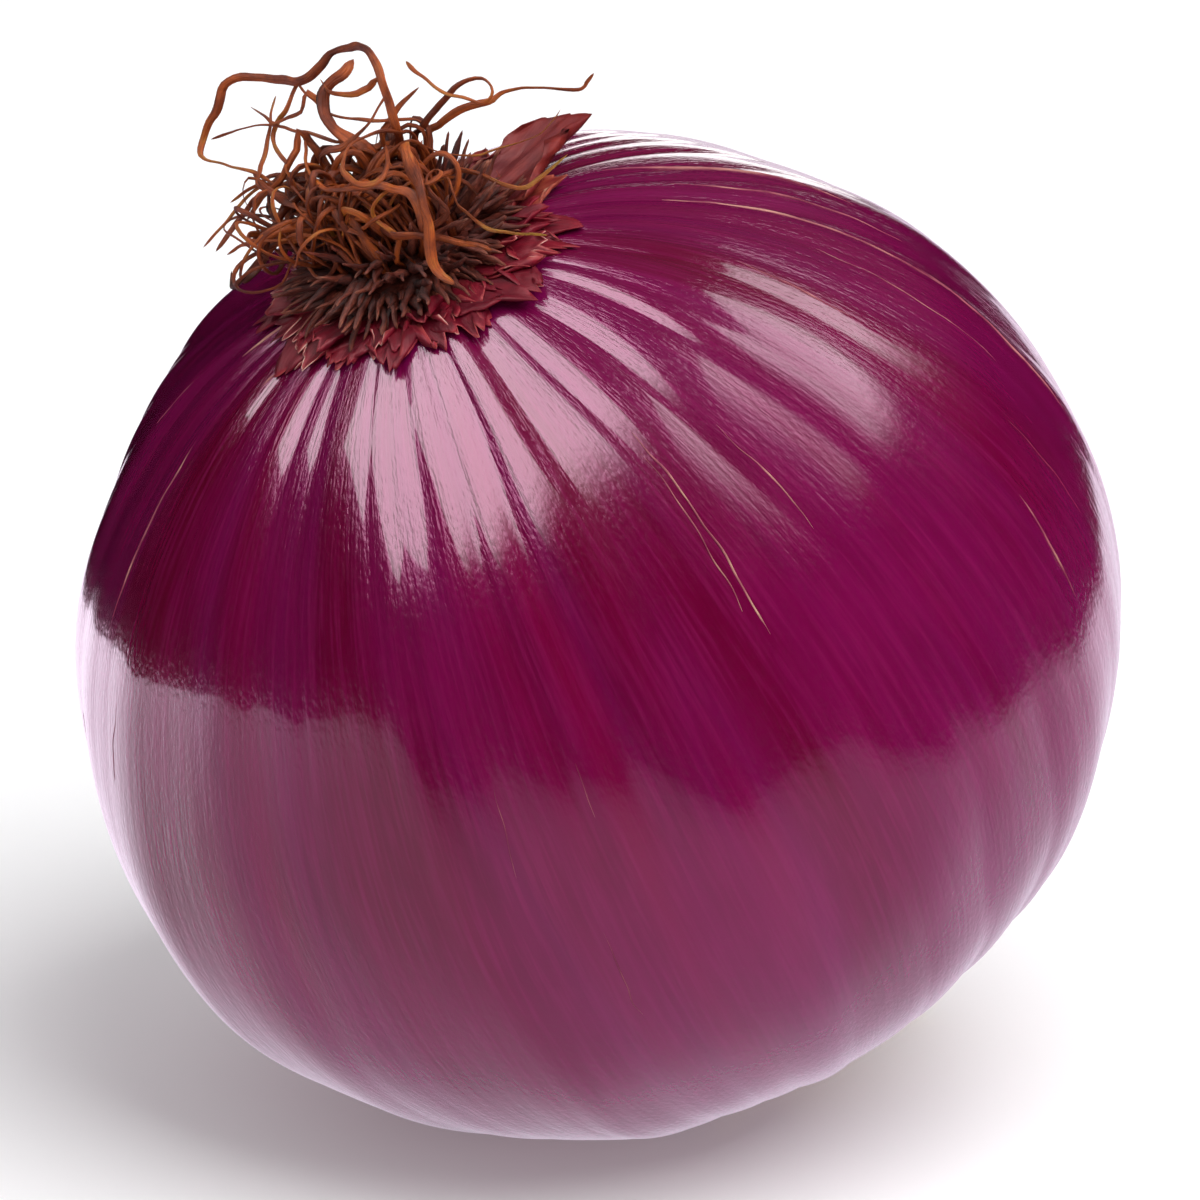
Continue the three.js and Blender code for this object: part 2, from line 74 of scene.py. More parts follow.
# How steep a rib's flank is at its edge: least and most.
ROOT_STEEPNESS = (0.12, 0.48)
MIDDLE_STEEPNESS = (0.01, 0.12)
NECK_STEEPNESS = (0.10, 0.30)
TUBE_TWIST = 0.12
CREASES = [
    # azimuth at the start and end, polar at the start and end, all in degrees, and width
    (8.0, 4.6, 27, 62, 0.30), (5.4, 1.6, 58, 82, 0.22), (-56.2, -59.2, 38, 65, 0.26),
    (-57.8, -60.6, 41, 62, 0.18), (-20.8, -21.8, 76, 90, 0.26), (25.0, 17.0, 24, 52, 0.30),
    (14.0, 11.5, 30, 58, 0.22), (-12.5, -14.3, 36, 50, 0.24), (-45.2, -46.2, 44, 60, 0.16),
    (-1.0, -3.5, 44, 70, 0.16), (-162, -163, 30, 52, 0.2), (-170.5, -172, 13.0, 20.5, 0.34),
    (-150, -152, 17.5, 21.0, 0.26),
]
CREASE_TONE = 0.42
FAINT_CREASE_WIDTH = 0.12
FAINT_CREASE_TONE = 0.1
FAINT_CREASES = 9
FAINT_CREASE_STARTS = (22, 120)
FAINT_CREASE_LENGTHS = (6, 30)

# The skin's colours, and where along it they lie.
SKIN_BANDS = [(0.28, (86, 0, 32)), (0.42, (97, 2, 44)), (0.56, (102, 8, 62)), (0.72, (109, 3, 50))]
VEIN_COLOUR = (80, 0, 28)
FIBRE_COLOUR = (130, 22, 80)
MOTTLE_COLOUR = (120, 6, 72)
FAR_COLOUR = (122, 8, 90)
# How far from the root, along the skin in mm, the far colour begins and is full.
FAR_START, FAR_FULL = 54, 92
NECK_DARK, NECK_PALE = (140, 84, 70), (176, 126, 98)
SKIN_GRAIN_HEIGHT = 0.042
SKIN_STRIP_HEIGHT = 0.04

# The tuft of dry roots.
ROOT_NODES = 28
STRAND_STEP = 0.36
STRAND_CRINKLE = 0.09
STRAND_SWELL = 1.08
# A strand wider than this is a flat ribbon; the flatness is its thickness over its width.
RIBBON_WIDTH = 1.0
RIBBON_FLATNESS = 0.24
STRING_FLATNESS = 0.5
TANGLE_STRANDS = 74
TANGLE_STEP = 1.15
TANGLE_FOOT = 5.0
TANGLE_JOINTS = (10, 30)
TANGLE_BENDS = (0.04, 0.24)
TANGLE_WIDTHS = (0.28, 0.66)
TANGLE_TONES = (0.2, 0.6)
TANGLE_CRINKLE = 0.11
# The middle and half sizes of the room that the tangle keeps to, in the bulb frame.
DOME_CENTRE = np.array([-2.4, 1.2, ROOT_HALF + 4.0])
DOME_SIZE = np.array([7.8, 5.2, 2.3])
FINE_STEP = 0.45
STUB_WIDTHS = (0.4, 1.0)
STUB_GROWTH = (0.55, 1.3)
STUB_TILT = 16
STUB_TONES = (0.1, 0.6)
STUB_TIERS = [
    # count, start radius, start height, angle up from the plate, length
    (30, 2.6, 2.4, 62, 3.6),
    (44, 4.6, 2.2, 42, 4.2),
    (66, 6.0, 1.7, 26, 4.1),
    (80, 7.0, 1.0, 12, 3.6),
    (76, 7.5, 0.4, 2, 3.1),
]
FLAKE_TIERS = [
    # count, start radius, length, lift of the tip, width
    (21, 7.6, 5.0, 0.1, 3.6),
    (24, 7.3, 4.6, 0.4, 2.7),
    (19, 7.0, 3.8, 0.9, 2.2),
]
FLAKE_THICKNESS = 0.16
FLAKE_LENGTHS = (0.75, 1.3)
FLAKE_WIDTHS = (0.7, 1.25)
FLAKE_LIFTS = (0.4, 1.5)
FLAKE_RAGGEDNESS = (0.15, 0.5)
FLAKE_TONES = (0.02, 0.4)
FLAKE_SWAY = 0.1
BIG_FLAKE_SWAY = 0.06
FLAKE_NODES = 15
FLAP_NODE = 9
FLAPS = [
    # azimuth in degrees, start radius, length, width, lift of the tip, tone
    (31, 5.6, 11.8, 6.4, 3.2, 0.12),
    (14, 7.6, 5.6, 4.0, 0.8, 0.5),
    (52, 7.0, 5.4, 5.0, 1.2, 0.2),
]
BIG_FLAKES = [
    # azimuth in degrees, start radius, length, width, lift of the tip, tone
    (-50, 8.0, 6.6, 6.4, 0.9, 0.10), (-68, 8.0, 5.9, 4.6, 0.5, 0.08), (-98, 8.0, 5.4, 4.0, 0.6, 0.12),
    (-122, 8.0, 4.8, 4.2, 0.5, 0.1), (-30, 8.0, 5.4, 4.4, 1.0, 0.3), (-140, 8.0, 4.6, 4.4, 0.6, 0.2),
]

STRANDS = [
    # tone, width, (across the view, up the view, height over the plate) from the root pole
    (0.55, 0.62, [(-0.3, 7.3, 6), (-0.5, 9, 9), (-1.2, 11.1, 11), (-1.6, 12.7, 12.5), (-2.4, 14.6, 13.5),
     (-3.1, 15.2, 13.6), (-4.4, 15.3, 13.2), (-5.6, 14.9, 12.6), (-6.2, 14.1, 12), (-6.9, 13.4, 11.5),
     (-7.9, 12.9, 11), (-9.2, 13, 11), (-10.9, 13.3, 11.2), (-12.4, 13.4, 11.5), (-13.2, 13.1, 11.5),
     (-13.7, 12.5, 11), (-14.1, 11.1, 10), (-14.7, 10, 9), (-15.2, 8.8, 8), (-15.5, 7.7, 7.4),
     (-15.2, 7.2, 7.2), (-13.9, 6.9, 7), (-12.4, 6.5, 7), (-10.9, 6, 7), (-9.9, 5.2, 6.8)]),
    (0.55, 0.50, [(-8.2, 12.8, 10.6), (-7.3, 11.9, 10), (-6.2, 10.9, 9.6), (-5.1, 10.2, 9.4),
     (-3.7, 9.9, 9.2), (-2, 9.8, 9), (-0.3, 9.9, 8.6), (0.8, 9.9, 8), (1.6, 9.3, 7), (1.9, 8.4, 6)]),
    (0.55, 0.60, [(-7.9, 13, 10.8), (-8.5, 12, 10.2), (-8.9, 10.7, 9.6), (-9.6, 9.9, 9), (-9.9, 8.8, 8.4),
     (-9.4, 7.6, 8), (-8.8, 6.7, 7.6), (-8.4, 5.4, 7)]),
    (0.36, 1.5, [(-3.9, 14.3, 12.4), (-4.5, 13.4, 12), (-5.4, 12.7, 11.6), (-6.1, 11.7, 11),
     (-6.1, 10.3, 10.2), (-5.4, 9.3, 9.4), (-4.1, 8.4, 8.4), (-2.8, 7.3, 7.4), (-1.5, 5.8, 5)]),
    (0.55, 0.55, [(-6.3, 12.8, 11.8), (-5.5, 11.8, 11.2), (-4.5, 11.6, 11), (-3.5, 11.7, 10.8),
     (-2.6, 12.2, 10.8), (-1.4, 12.2, 10.6)]),
    (0.55, 0.50, [(-1.3, 11.7, 10.4), (-2, 10.5, 10), (-2.8, 9.4, 9.6), (-3.7, 8.5, 9), (-4.7, 7.7, 8.4),
     (-6.2, 6.7, 7.6)]),
    (0.55, 0.65, [(1, 12.1, 10.2), (0.3, 11.5, 9.8), (-0.4, 10.8, 9.4), (-1.1, 9.6, 8.6),
     (-1.5, 8.2, 7.4)]),
    (0.55, 0.62, [(0.2, 14.1, 11.4), (1, 13.2, 11), (2.1, 12.4, 10.4), (3.2, 11.7, 9.8), (4.7, 11.2, 9.2),
     (5.8, 11, 8.6), (6.5, 11.5, 8.8), (6.5, 12.2, 9.2), (5.8, 12.8, 9.6), (4.8, 12.7, 9.8),
     (3.8, 12.1, 9.6), (2.8, 11.1, 9), (2.2, 10.3, 8.4), (1.5, 9.3, 7.6), (0.8, 8.2, 6)]),
    (0.55, 0.50, [(1.7, 8.4, 6), (2.5, 9.4, 7), (3.5, 10.1, 7.4), (4.9, 10.7, 7.6), (6.3, 11.2, 7.6),
     (7.2, 11.7, 7.4), (8.3, 12, 7.2), (10, 12.2, 6.8), (11.7, 12.1, 6.2), (13.2, 12.1, 5.6),
     (13.6, 12.5, 5.8), (14, 13, 6.2)]),
    (0.55, 0.55, [(-9.8, 11.8, 10), (-10, 10.9, 9.6), (-10.2, 9.6, 9), (-10.4, 8.2, 8.2), (-10.8, 6.2, 7.2),
     (-10.3, 4.7, 6.4)]),
    (0.55, 0.45, [(-14.4, 8.7, 9), (-13.1, 9.1, 9.2), (-11.8, 9.4, 9.4), (-10.5, 9.6, 9.4), (-9, 9.4, 9),
     (-7.3, 9, 8.8), (-5.4, 8.3, 8.4), (-3.5, 7.6, 7.6)]),
    (0.55, 0.45, [(-11.4, 10.9, 10), (-10.6, 10.4, 9.8), (-9.8, 9.8, 9.4), (-8.8, 10.2, 9.8),
     (-7.7, 10.5, 10), (-6.7, 11.6, 10.6)]),
    (0.55, 0.60, [(-7.4, 8.7, 8.8), (-8, 7.7, 8.4), (-8.8, 6.6, 7.8), (-9.4, 5.4, 7), (-10.9, 4.1, 6),
     (-11.7, 2.6, 5)]),
    (0.55, 0.62, [(1, 8.2, 7), (-0.3, 8.8, 8.6), (-1.7, 8.9, 9.4), (-3.2, 8.3, 9.8), (-4.3, 7.2, 9.8),
     (-4.5, 6, 9.4), (-3.9, 5.1, 9), (-2.7, 4.7, 8.8), (-1.6, 5.1, 9), (-1.2, 6.4, 9.2), (-1.3, 7.8, 9.4)]),
    (0.55, 0.95, [(0.1, 7.6, 8), (0.6, 6.2, 8.2), (1.2, 4.7, 8), (1.6, 3.2, 7.2), (1.9, 1.7, 6),
     (2, 0.3, 4.8), (2.3, -1, 3.6), (2.8, -1.9, 2.8), (3.7, -2.6, 2.4)]),
    (0.92, 0.36, [(0.8, 7.7, 6.6), (2.6, 7.3, 5.6), (4, 7.2, 5), (5.7, 7.3, 4.4), (7.2, 7.6, 4),
     (8.9, 8.1, 3.8), (10.2, 8.8, 3.8), (11.1, 9.8, 4.2), (11.5, 10.5, 4.6)]),
    (0.92, 0.40, [(1.5, 4.1, 5.6), (2.3, 5.1, 5.6), (3.2, 5.7, 5.2), (4.2, 6.1, 4.8), (5.5, 5.8, 4.2),
     (6.6, 5.3, 3.8), (7.9, 4.7, 3.4), (8.9, 4.7, 3.2), (10.2, 5.5, 3.4), (12, 6.9, 4)]),
    (0.92, 0.40, [(3.2, 5.2, 5.4), (3.7, 4.2, 5), (4.2, 3.2, 4.6), (5.1, 2.3, 4), (6.4, 1.5, 3.4),
     (7.9, 1.2, 3), (9.1, 1.1, 2.8), (10.5, 1, 2.8)]),
    (0.55, 0.60, [(-7.3, 8.4, 8.6), (-7.1, 6.4, 8.4), (-6.4, 5.2, 8.2), (-5.4, 4.4, 8), (-3.7, 4.5, 8),
     (-2, 4.7, 8), (-0.3, 4.4, 7.6), (0.7, 3.8, 7), (1.2, 2.8, 6.2), (1.3, 1.7, 5.2)]),
    (0.2, 0.90, [(-11.2, 6.2, 7), (-10.2, 4.8, 7), (-8.8, 3.7, 6.8), (-7.1, 3, 6.4), (-5.2, 2.6, 6),
     (-3.2, 2.5, 5.6), (-1.3, 2.6, 5), (-0.3, 3, 3.6)]),
    (0.2, 0.75, [(-11.5, 0.8, 3.4), (-10.3, 1.9, 4.2), (-8.4, 2.5, 5), (-6.2, 2.6, 5.2), (-4.1, 2.4, 5),
     (-2.2, 2.1, 4)]),
    (0.55, 0.75, [(-13.1, 0.1, 2.6), (-12, 0.7, 3), (-10.3, 1, 3.6), (-8.2, 0.9, 4), (-6.2, 1.5, 4.4),
     (-4.3, 1.6, 4.2), (-2.4, 1.7, 3.4)]),
    (0.55, 0.50, [(-15, 0.8, 3.6), (-13.9, 2, 4), (-12.7, 3.5, 4.6), (-11.5, 4.7, 5.2), (-10.3, 5.3, 5.8),
     (-8.6, 5.8, 6.4), (-6.7, 6, 6.6), (-4.7, 5.4, 6.4)]),
    (0.55, 0.50, [(-14, 0.4, 3.2), (-13.3, 1.3, 3.6), (-12.5, 2.6, 4.2), (-11.7, 3.7, 4.8),
     (-10.7, 4.5, 5.4), (-9.2, 5.1, 6), (-7.5, 4.8, 6.2)]),
    (0.55, 0.45, [(-13, 4.1, 5.2), (-11.7, 4.9, 5.6), (-10.5, 5.2, 5.8), (-9, 4.3, 5.8), (-7.7, 3.5, 5.6),
     (-5.8, 3.4, 5.4), (-3.7, 3.7, 5)]),
    (0.55, 0.50, [(0.8, 5.4, 8), (1.7, 4.7, 8), (2.6, 5.1, 7.8), (2.8, 5.7, 7.8), (2.2, 5.8, 7.8),
     (1.6, 5.1, 8), (2, 4.1, 7.4), (2.8, 3.4, 6.6), (3.3, 2.6, 5.8), (2.5, 2, 5), (1.5, 1.5, 4)]),
    (0.55, 0.60, [(-1.6, 1.5, 4.6), (-0.7, 1.1, 4.8), (0.8, 1, 4.6), (2.3, 1, 4.2), (3.8, 0.6, 3.6),
     (5.1, 0.3, 3), (6.4, -0.1, 2.6)]),
    (0.55, 0.50, [(1.2, 2.4, 5), (1.1, 3.4, 6.2), (0.4, 4.1, 7), (-0.7, 4.4, 7.4), (-1.6, 4, 7.4),
     (-2.3, 3.1, 7), (-2.1, 2.4, 6.2), (-1.1, 1.6, 5.4), (-0.3, 0.9, 4.4), (-0.4, -0.6, 3)]),
]

# The dried neck.
NECK_TOWARD = LEAN_TOWARD + math.pi
NECK_REACH = [
    # distance from the neck pole along the floor, height, width, thickness
    (-3.6, 6.2, 12.5, 10.0), (-1.6, 4.7, 11.0, 7.6), (0.4, 3.0, 9.4, 5.2), (2.6, 2.0, 8.4, 3.4),
    (5.2, 1.65, 7.8, 2.6), (8.0, 1.55, 7.4, 2.2), (10.6, 1.6, 7.0, 1.7), (12.4, 1.9, 6.0, 1.0),
]
NECK_SHEETS = [
    # sideways start, reach, width, rise of the tip, sideways drift
    (-1.6, 3.2, 3.6, 1.0, -0.6), (0.3, 4.6, 4.6, 0.4, 0.8), (2.3, 5.0, 4.0, 2.4, 2.6),
]
NECK_SIDES = 84
NECK_STEP = 0.3
NECK_END_HEIGHTS = np.array([6.2, 1.7])
NECK_TIP_HOLLOW = 1.5
SHEET_START = 9.0
SHEET_STEPS = 15
SHEET_THICKNESS = 0.2
SHEET_CLEARANCE = 0.3
STALK_CLEARANCE = 0.06

# Dry colours from the darkest tone to the palest, as screen values.
ROOT_BROWNS = [(0.0, (64, 22, 10)), (0.3, (126, 50, 18)), (0.6, (186, 86, 28)), (1.0, (200, 144, 50))]
STUB_BROWNS = [(0.0, (62, 18, 12)), (0.4, (112, 44, 30)), (0.75, (150, 76, 56)), (1.0, (172, 106, 84))]
NECK_PAPER = [(0.0, (92, 30, 46)), (0.4, (132, 78, 62)), (0.75, (182, 134, 92)), (1.0, (214, 180, 136))]
STRAW_PAPER = [(0.0, (128, 48, 74)), (0.4, (168, 96, 104)), (0.75, (204, 150, 134)), (1.0, (222, 184, 152))]
CRIMSON_PAPER = [(0.0, (86, 4, 24)), (0.4, (126, 20, 38)), (0.75, (166, 66, 66)), (1.0, (230, 186, 172))]
BROWN_PAPER = [(0.0, (84, 12, 16)), (0.4, (126, 38, 32)), (0.75, (166, 80, 60)), (1.0, (220, 172, 146))]

# The camera and the studio.
CAMERA_ELEVATION = math.radians(20)
CAMERA_DISTANCE = 900.0
CAMERA_LENS = 355.0
CAMERA_SENSOR = 36.0
CAMERA_CLIP = (0.05, 20.0)
AIM_RIGHT = -0.42
AIM_UP = 4.24
FLOOR_RADIUS = 1.3
FLOOR_RINGS = [0.02, 0.1, 0.3, 0.6, 1.0]
FLOOR_SIDES = 96
# How far below the bulb the floor and the table lie, in metres.
FLOOR_DROP = 0.00002
TABLE_DROP = 0.00001
FLOOR_PALES = [(0.88, 0.88, 0.88, 1), (0.91, 0.91, 0.91, 1)]
FLOOR_GLOW = 0.16
TABLE_COLOUR = (0.97, 0.84, 1.0, 1)
TABLE_SHADOW = (0.15, 0.85)
TABLE_SHADOW_RADIUS = 17
TABLE = [
    # the pale table as the gloss sees it, in mm: x, y, radiance just inside the edge, width of the edge
    (-45, 1000, 1.2, 10), (-50, 135, 1.6, 8), (-164, 106, 3.0, 8), (-200, 45, 3.0, 8), (-340, -50, 1.7, 50),
    (-260, -200, 1.0, 300), (-60, -90, 0.85, 480), (90, -90, 0.85, 480), (170, -60, 0.9, 260),
    (190, 30, 1.3, 140), (180, 110, 1.7, 90), (130, 200, 1.5, 50), (60, 1000, 1.0, 20),
]
WORLD_WHITE = (0.95, 0.95, 0.95, 1)
WORLD_LIGHT = (0.43, 0.43, 0.44, 1)
WORLD_GLOSS = (0.0, 0.0, 0.0, 1)
SOFTBOXES = [
    # name, azimuth (0 is +X, -90 the camera's side), elevation, distance, width, height,
    # radiance seen in the gloss, radiance that lights the surfaces, how far in the gloss fades on each side
    ("softbox_front", -150, 62, 0.9, 1.10, 0.72, 8.2, 0.3, (0.02, 0.22, 0.02, 0.02)),
    ("softbox_right", 6, 52, 0.9, 0.84, 0.58, 5.2, 0.8, (0.55, 0.04, 0.35, 0.04)),
    ("softbox_key", -40, 60, 1.1, 0.90, 0.90, 0.0, 4.9, None),
    ("backdrop_light", 88, 4, 1.4, 0.66, 0.32, 3.0, 0.6, (0.3, 0.3, 0.1, 0.1)),
    ("haze_right", 38, 60, 1.0, 2.20, 1.80, 0.08, 0.0, (0.3, 0.3, 0.3, 0.3)),
]

rng = np.random.default_rng(20)


# ---------------------------------------------------------------- the bulb's own frame

ROOT_DIRECTION = np.array([
    math.cos(LEAN_TOWARD) * math.sin(LEAN),
    math.sin(LEAN_TOWARD) * math.sin(LEAN),
    math.cos(LEAN),
])


def bulb_centre():
    """Where the bulb's centre stands, so that its shoulder is pressed flat by REST_DEPTH."""
    depth = math.hypot(NECK_HALF * math.cos(LEAN), BULB_RADIUS * math.sin(LEAN))
    offset = (BULB_RADIUS**2 - NECK_HALF**2) * math.cos(LEAN) * math.sin(LEAN) / depth
    return np.array([
        -math.cos(LEAN_TOWARD) * offset,
        -math.sin(LEAN_TOWARD) * offset,
        depth - REST_DEPTH,
    ])


CENTRE = bulb_centre()
TURN = np.array(Vector((0, 0, 1)).rotation_difference(Vector(ROOT_DIRECTION)).to_matrix())
ROOT_POLE = CENTRE + ROOT_DIRECTION * ROOT_HALF
NECK_POLE = CENTRE - ROOT_DIRECTION * NECK_HALF
NECK_FOOT = np.array([NECK_POLE[0], NECK_POLE[1], 0])
NECK_ALONG = np.array([math.cos(NECK_TOWARD), math.sin(NECK_TOWARD), 0])
NECK_ACROSS = np.cross([0, 0, 1], NECK_ALONG)

# The axes of the camera's view.
SIDEWAYS = np.array([1.0, 0, 0])
UPWARD = np.array([0, math.sin(CAMERA_ELEVATION), math.cos(CAMERA_ELEVATION)])
TOWARD = np.array([0, -math.cos(CAMERA_ELEVATION), math.sin(CAMERA_ELEVATION)])


def to_world(points):
    """Points of the bulb frame, standing on the floor."""
    return np.asarray(points) @ TURN.T + CENTRE


def bulb_point(polar, azimuth, raised=0.0):
    """Points on the bulb, or raised above its surface, in the bulb frame."""
    half = np.where(polar <= math.pi / 2, ROOT_HALF, NECK_HALF)
    oval = 1 + OVALNESS * np.cos(2 * (azimuth - OVAL_TOWARD))
    rho = BULB_RADIUS * np.sin(polar) * oval
    outward = np.stack([
        np.sin(polar) * np.cos(azimuth) / BULB_RADIUS,
        np.sin(polar) * np.sin(azimuth) / BULB_RADIUS,
        np.cos(polar) / half,
    ], axis=-1)
    outward /= np.linalg.norm(outward, axis=-1, keepdims=True)
    surface = np.stack([
        rho * np.cos(azimuth), rho * np.sin(azimuth), half * np.cos(polar),
    ], axis=-1)
    return surface + outward * np.asarray(raised)[..., None]


def smoothstep(low, high, value):
    """0 before low and 1 past high, with a smooth change between."""
    part = np.clip((value - low) / (high - low), 0, 1)
    return part * part * (3 - 2 * part)


# ---------------------------------------------------------------- mesh making

def add_object(name, data):
    """A new object in the scene."""
    made = bpy.data.objects.new(name, data)
    bpy.context.scene.collection.objects.link(made)
    return made


class Shape:
    """Vertices in mm, faces, and two attributes for the materials: tone (0 to 1) and grain (mm)."""

    def __init__(self):
        self.points, self.faces, self.tones, self.grains = [], [], [], []
        self.count = 0

    def add(self, points, faces, tones, grains):
        """Adds a block of vertices; its faces count from the block's own first vertex."""
        self.points.append(np.asarray(points, float))
        self.tones.append(np.broadcast_to(np.asarray(tones, float), (len(points),)))
        self.grains.append(np.asarray(grains, float))
        self.faces.extend([tuple(corner + self.count for corner in face) for face in faces])
        self.count += len(points)

    def piece(self, name, material, nodes):
        """Makes the Blender object and ties it to the frame."""
        mesh = bpy.data.meshes.new(name)
        mesh.from_pydata((np.concatenate(self.points) * MM).tolist(), [], self.faces)
        tone = mesh.attributes.new("tone", "FLOAT", "POINT")
        tone.data.foreach_set("value", np.concatenate(self.tones).astype(np.float32))
        grain = mesh.attributes.new("grain", "FLOAT_VECTOR", "POINT")
        grain.data.foreach_set("vector", np.concatenate(self.grains).astype(np.float32).ravel())
        mesh.shade_smooth()
        mesh.materials.append(material)
        made = add_object(name, mesh)
        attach(made, "root")
        if nodes:
            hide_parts(*nodes)
        return made


def around(count):
    """Angles spaced evenly round a full turn."""
    return np.linspace(0, math.tau, count, endpoint=False)


def unit(vectors):
    """The vectors at a length of 1."""
    return vectors / np.maximum(np.linalg.norm(vectors, axis=-1, keepdims=True), 1e-9)


def smooth_route(points, step):
    """A Catmull-Rom curve through the points, with a point about every step mm."""
    points = np.asarray(points, float)
    padded = np.vstack([2 * points[0] - points[1], points, 2 * points[-1] - points[-2]])
    route = []
    for before, start, end, after in zip(padded, padded[1:], padded[2:], padded[3:]):
        pieces = max(2, int(np.linalg.norm(end - start) / step))
        part = np.linspace(0, 1, pieces, endpoint=False)[:, None]
        route.append(0.5 * (
            2 * start + (end - before) * part
            + (2 * before - 5 * start + 4 * end - after) * part**2
            + (3 * start - before - 3 * end + after) * part**3
        ))
    return np.vstack(route + [points[-1:]])


def crinkled(route, size):
    """The route with small dry kinks along it."""
    kinks = [wobble(len(route), 3.2) + 0.8 * wobble(len(route), 7) for _ in range(3)]
    return route + size * np.stack(kinks, axis=1)


def wobble(count, spacing):
    """A smooth random run of numbers in -1..1, with one knot every spacing entries."""
    knots = rng.uniform(-1, 1, max(4, int(count / spacing) + 4))
    place = np.linspace(0, len(knots) - 3.001, count)
    first = place.astype(int)
    part = smoothstep(0, 1, place - first)
    return knots[first] * (1 - part) + knots[first + 1] * part


def carried_frames(route):
    """Tangent, side and up vectors along a route, without needless twisting."""
    tangent = unit(np.gradient(route, axis=0))
    side = np.cross(tangent[0], [0.31, -0.52, 0.79])
    sides = []
    for direction in tangent:
        side = side - direction * np.dot(side, direction)
        side = side / max(np.linalg.norm(side), 1e-9)
        sides.append(side)
    sides = np.array(sides)
    return tangent, sides, np.cross(tangent, sides)


def tube_faces(rows, sides):
    """The faces of a closed tube: rings of vertices, then one vertex for its start and one for its end."""
    faces = []
    for row in range(rows - 1):
        here, there = row * sides, (row + 1) * sides
        for k in range(sides):
            after = (k + 1) % sides
            faces.append((here + k, here + after, there + after, there + k))
    start, finish, last = rows * sides, rows * sides + 1, (rows - 1) * sides
    for k in range(sides):
        after = (k + 1) % sides
        faces.append((start, after, k))
        faces.append((finish, last + k, last + after))
    return faces


def disc_faces(rings, sides):
    """The faces of a flat disc: one vertex in the middle, then rings of vertices round it."""
    faces = []
    for k in range(sides):
        after = (k + 1) % sides
        faces.append((0, 1 + k, 1 + after))
        for ring in range(rings - 1):
            near, far = 1 + ring * sides, 1 + (ring + 1) * sides
            faces.append((near + k, far + k, far + after, near + after))
    return faces


def add_tube(shape, route, width, thickness, tone, sides=7, wrinkle=0.18):
    """A dry strand: a flattened, slowly twisting tube with closed ends. Sizes and tone may vary along it."""
    count = len(route)
    tangent, across, up = carried_frames(route)
    turn = np.cumsum(wobble(count, 9)) * TUBE_TWIST + rng.uniform(0, math.tau)
    angle = around(sides)
    ring = angle[None, :]
    lumps = 1 + wrinkle * np.stack([wobble(count, 3.5) for _ in range(sides)], axis=1)
    wide = (np.asarray(width) * np.ones(count))[:, None] * np.cos(ring) / 2 * lumps
    high = (np.asarray(thickness) * np.ones(count))[:, None] * np.sin(ring) / 2 * lumps
    cos, sin = np.cos(turn)[:, None], np.sin(turn)[:, None]
    first, second = wide * cos - high * sin, wide * sin + high * cos
    points = route[:, None, :] + first[..., None] * across[:, None, :] + second[..., None] * up[:, None, :]
    ends = np.array([route[0] - tangent[0] * 0.1, route[-1] + tangent[-1] * 0.25])
    along = np.concatenate([[0], np.cumsum(np.linalg.norm(np.diff(route, axis=0), axis=1))])
    offset = rng.uniform(0, 90)
    grain = np.stack([
        np.repeat(along, sides) + offset,
        np.tile(np.cos(angle), count) * 0.4 + offset,
        np.tile(np.sin(angle), count) * 0.4,
    ], axis=1)
    grain = np.vstack([grain, grain[:1], grain[-1:]])
    tones = np.repeat(np.asarray(tone) * np.ones(count), sides)
    tones = np.concatenate([tones, tones[:1], tones[-1:]])
    shape.add(np.vstack([points.reshape(-1, 3), ends]), tube_faces(count, sides), tones, grain)


def add_sheet(shape, grid, thickness, tones, grain):
    """A thin closed sheet through a grid of points, thickness mm deep below them."""
    rows, columns = grid.shape[:2]
    normal = unit(np.cross(np.gradient(grid, axis=0), np.gradient(grid, axis=1)))
    depth = (np.asarray(thickness) * np.ones((rows, columns)))[..., None]
    points = np.vstack([(grid + side * normal * depth / 2).reshape(-1, 3) for side in (1, -1)])
    below = rows * columns
    faces = []
    for row in range(rows - 1):
        for column in range(columns - 1):
            a = row * columns + column
            b, c, d = a + 1, a + columns + 1, a + columns
            faces.append((a, d, c, b))
            faces.append((a + below, b + below, c + below, d + below))
    rim = list(range(columns))
    rim += [row * columns + columns - 1 for row in range(1, rows)]
    rim += [(rows - 1) * columns + column for column in range(columns - 2, -1, -1)]
    rim += [row * columns for row in range(rows - 2, 0, -1)]
    for a, b in zip(rim, rim[1:] + rim[:1]):
        faces.append((a, b, b + below, a + below))
    shape.add(points, faces, np.tile(tones.ravel(), 2), np.vstack([grain.reshape(-1, 3)] * 2))


# ---------------------------------------------------------------- materials

def srgb(red, green, blue):
    """A colour named by its 0 to 255 screen values, as Blender's linear RGBA."""
    def linear(value):
        value /= 255
        return value / 12.92 if value <= 0.04045 else ((value + 0.055) / 1.055) ** 2.4
    return (linear(red), linear(green), linear(blue), 1.0)


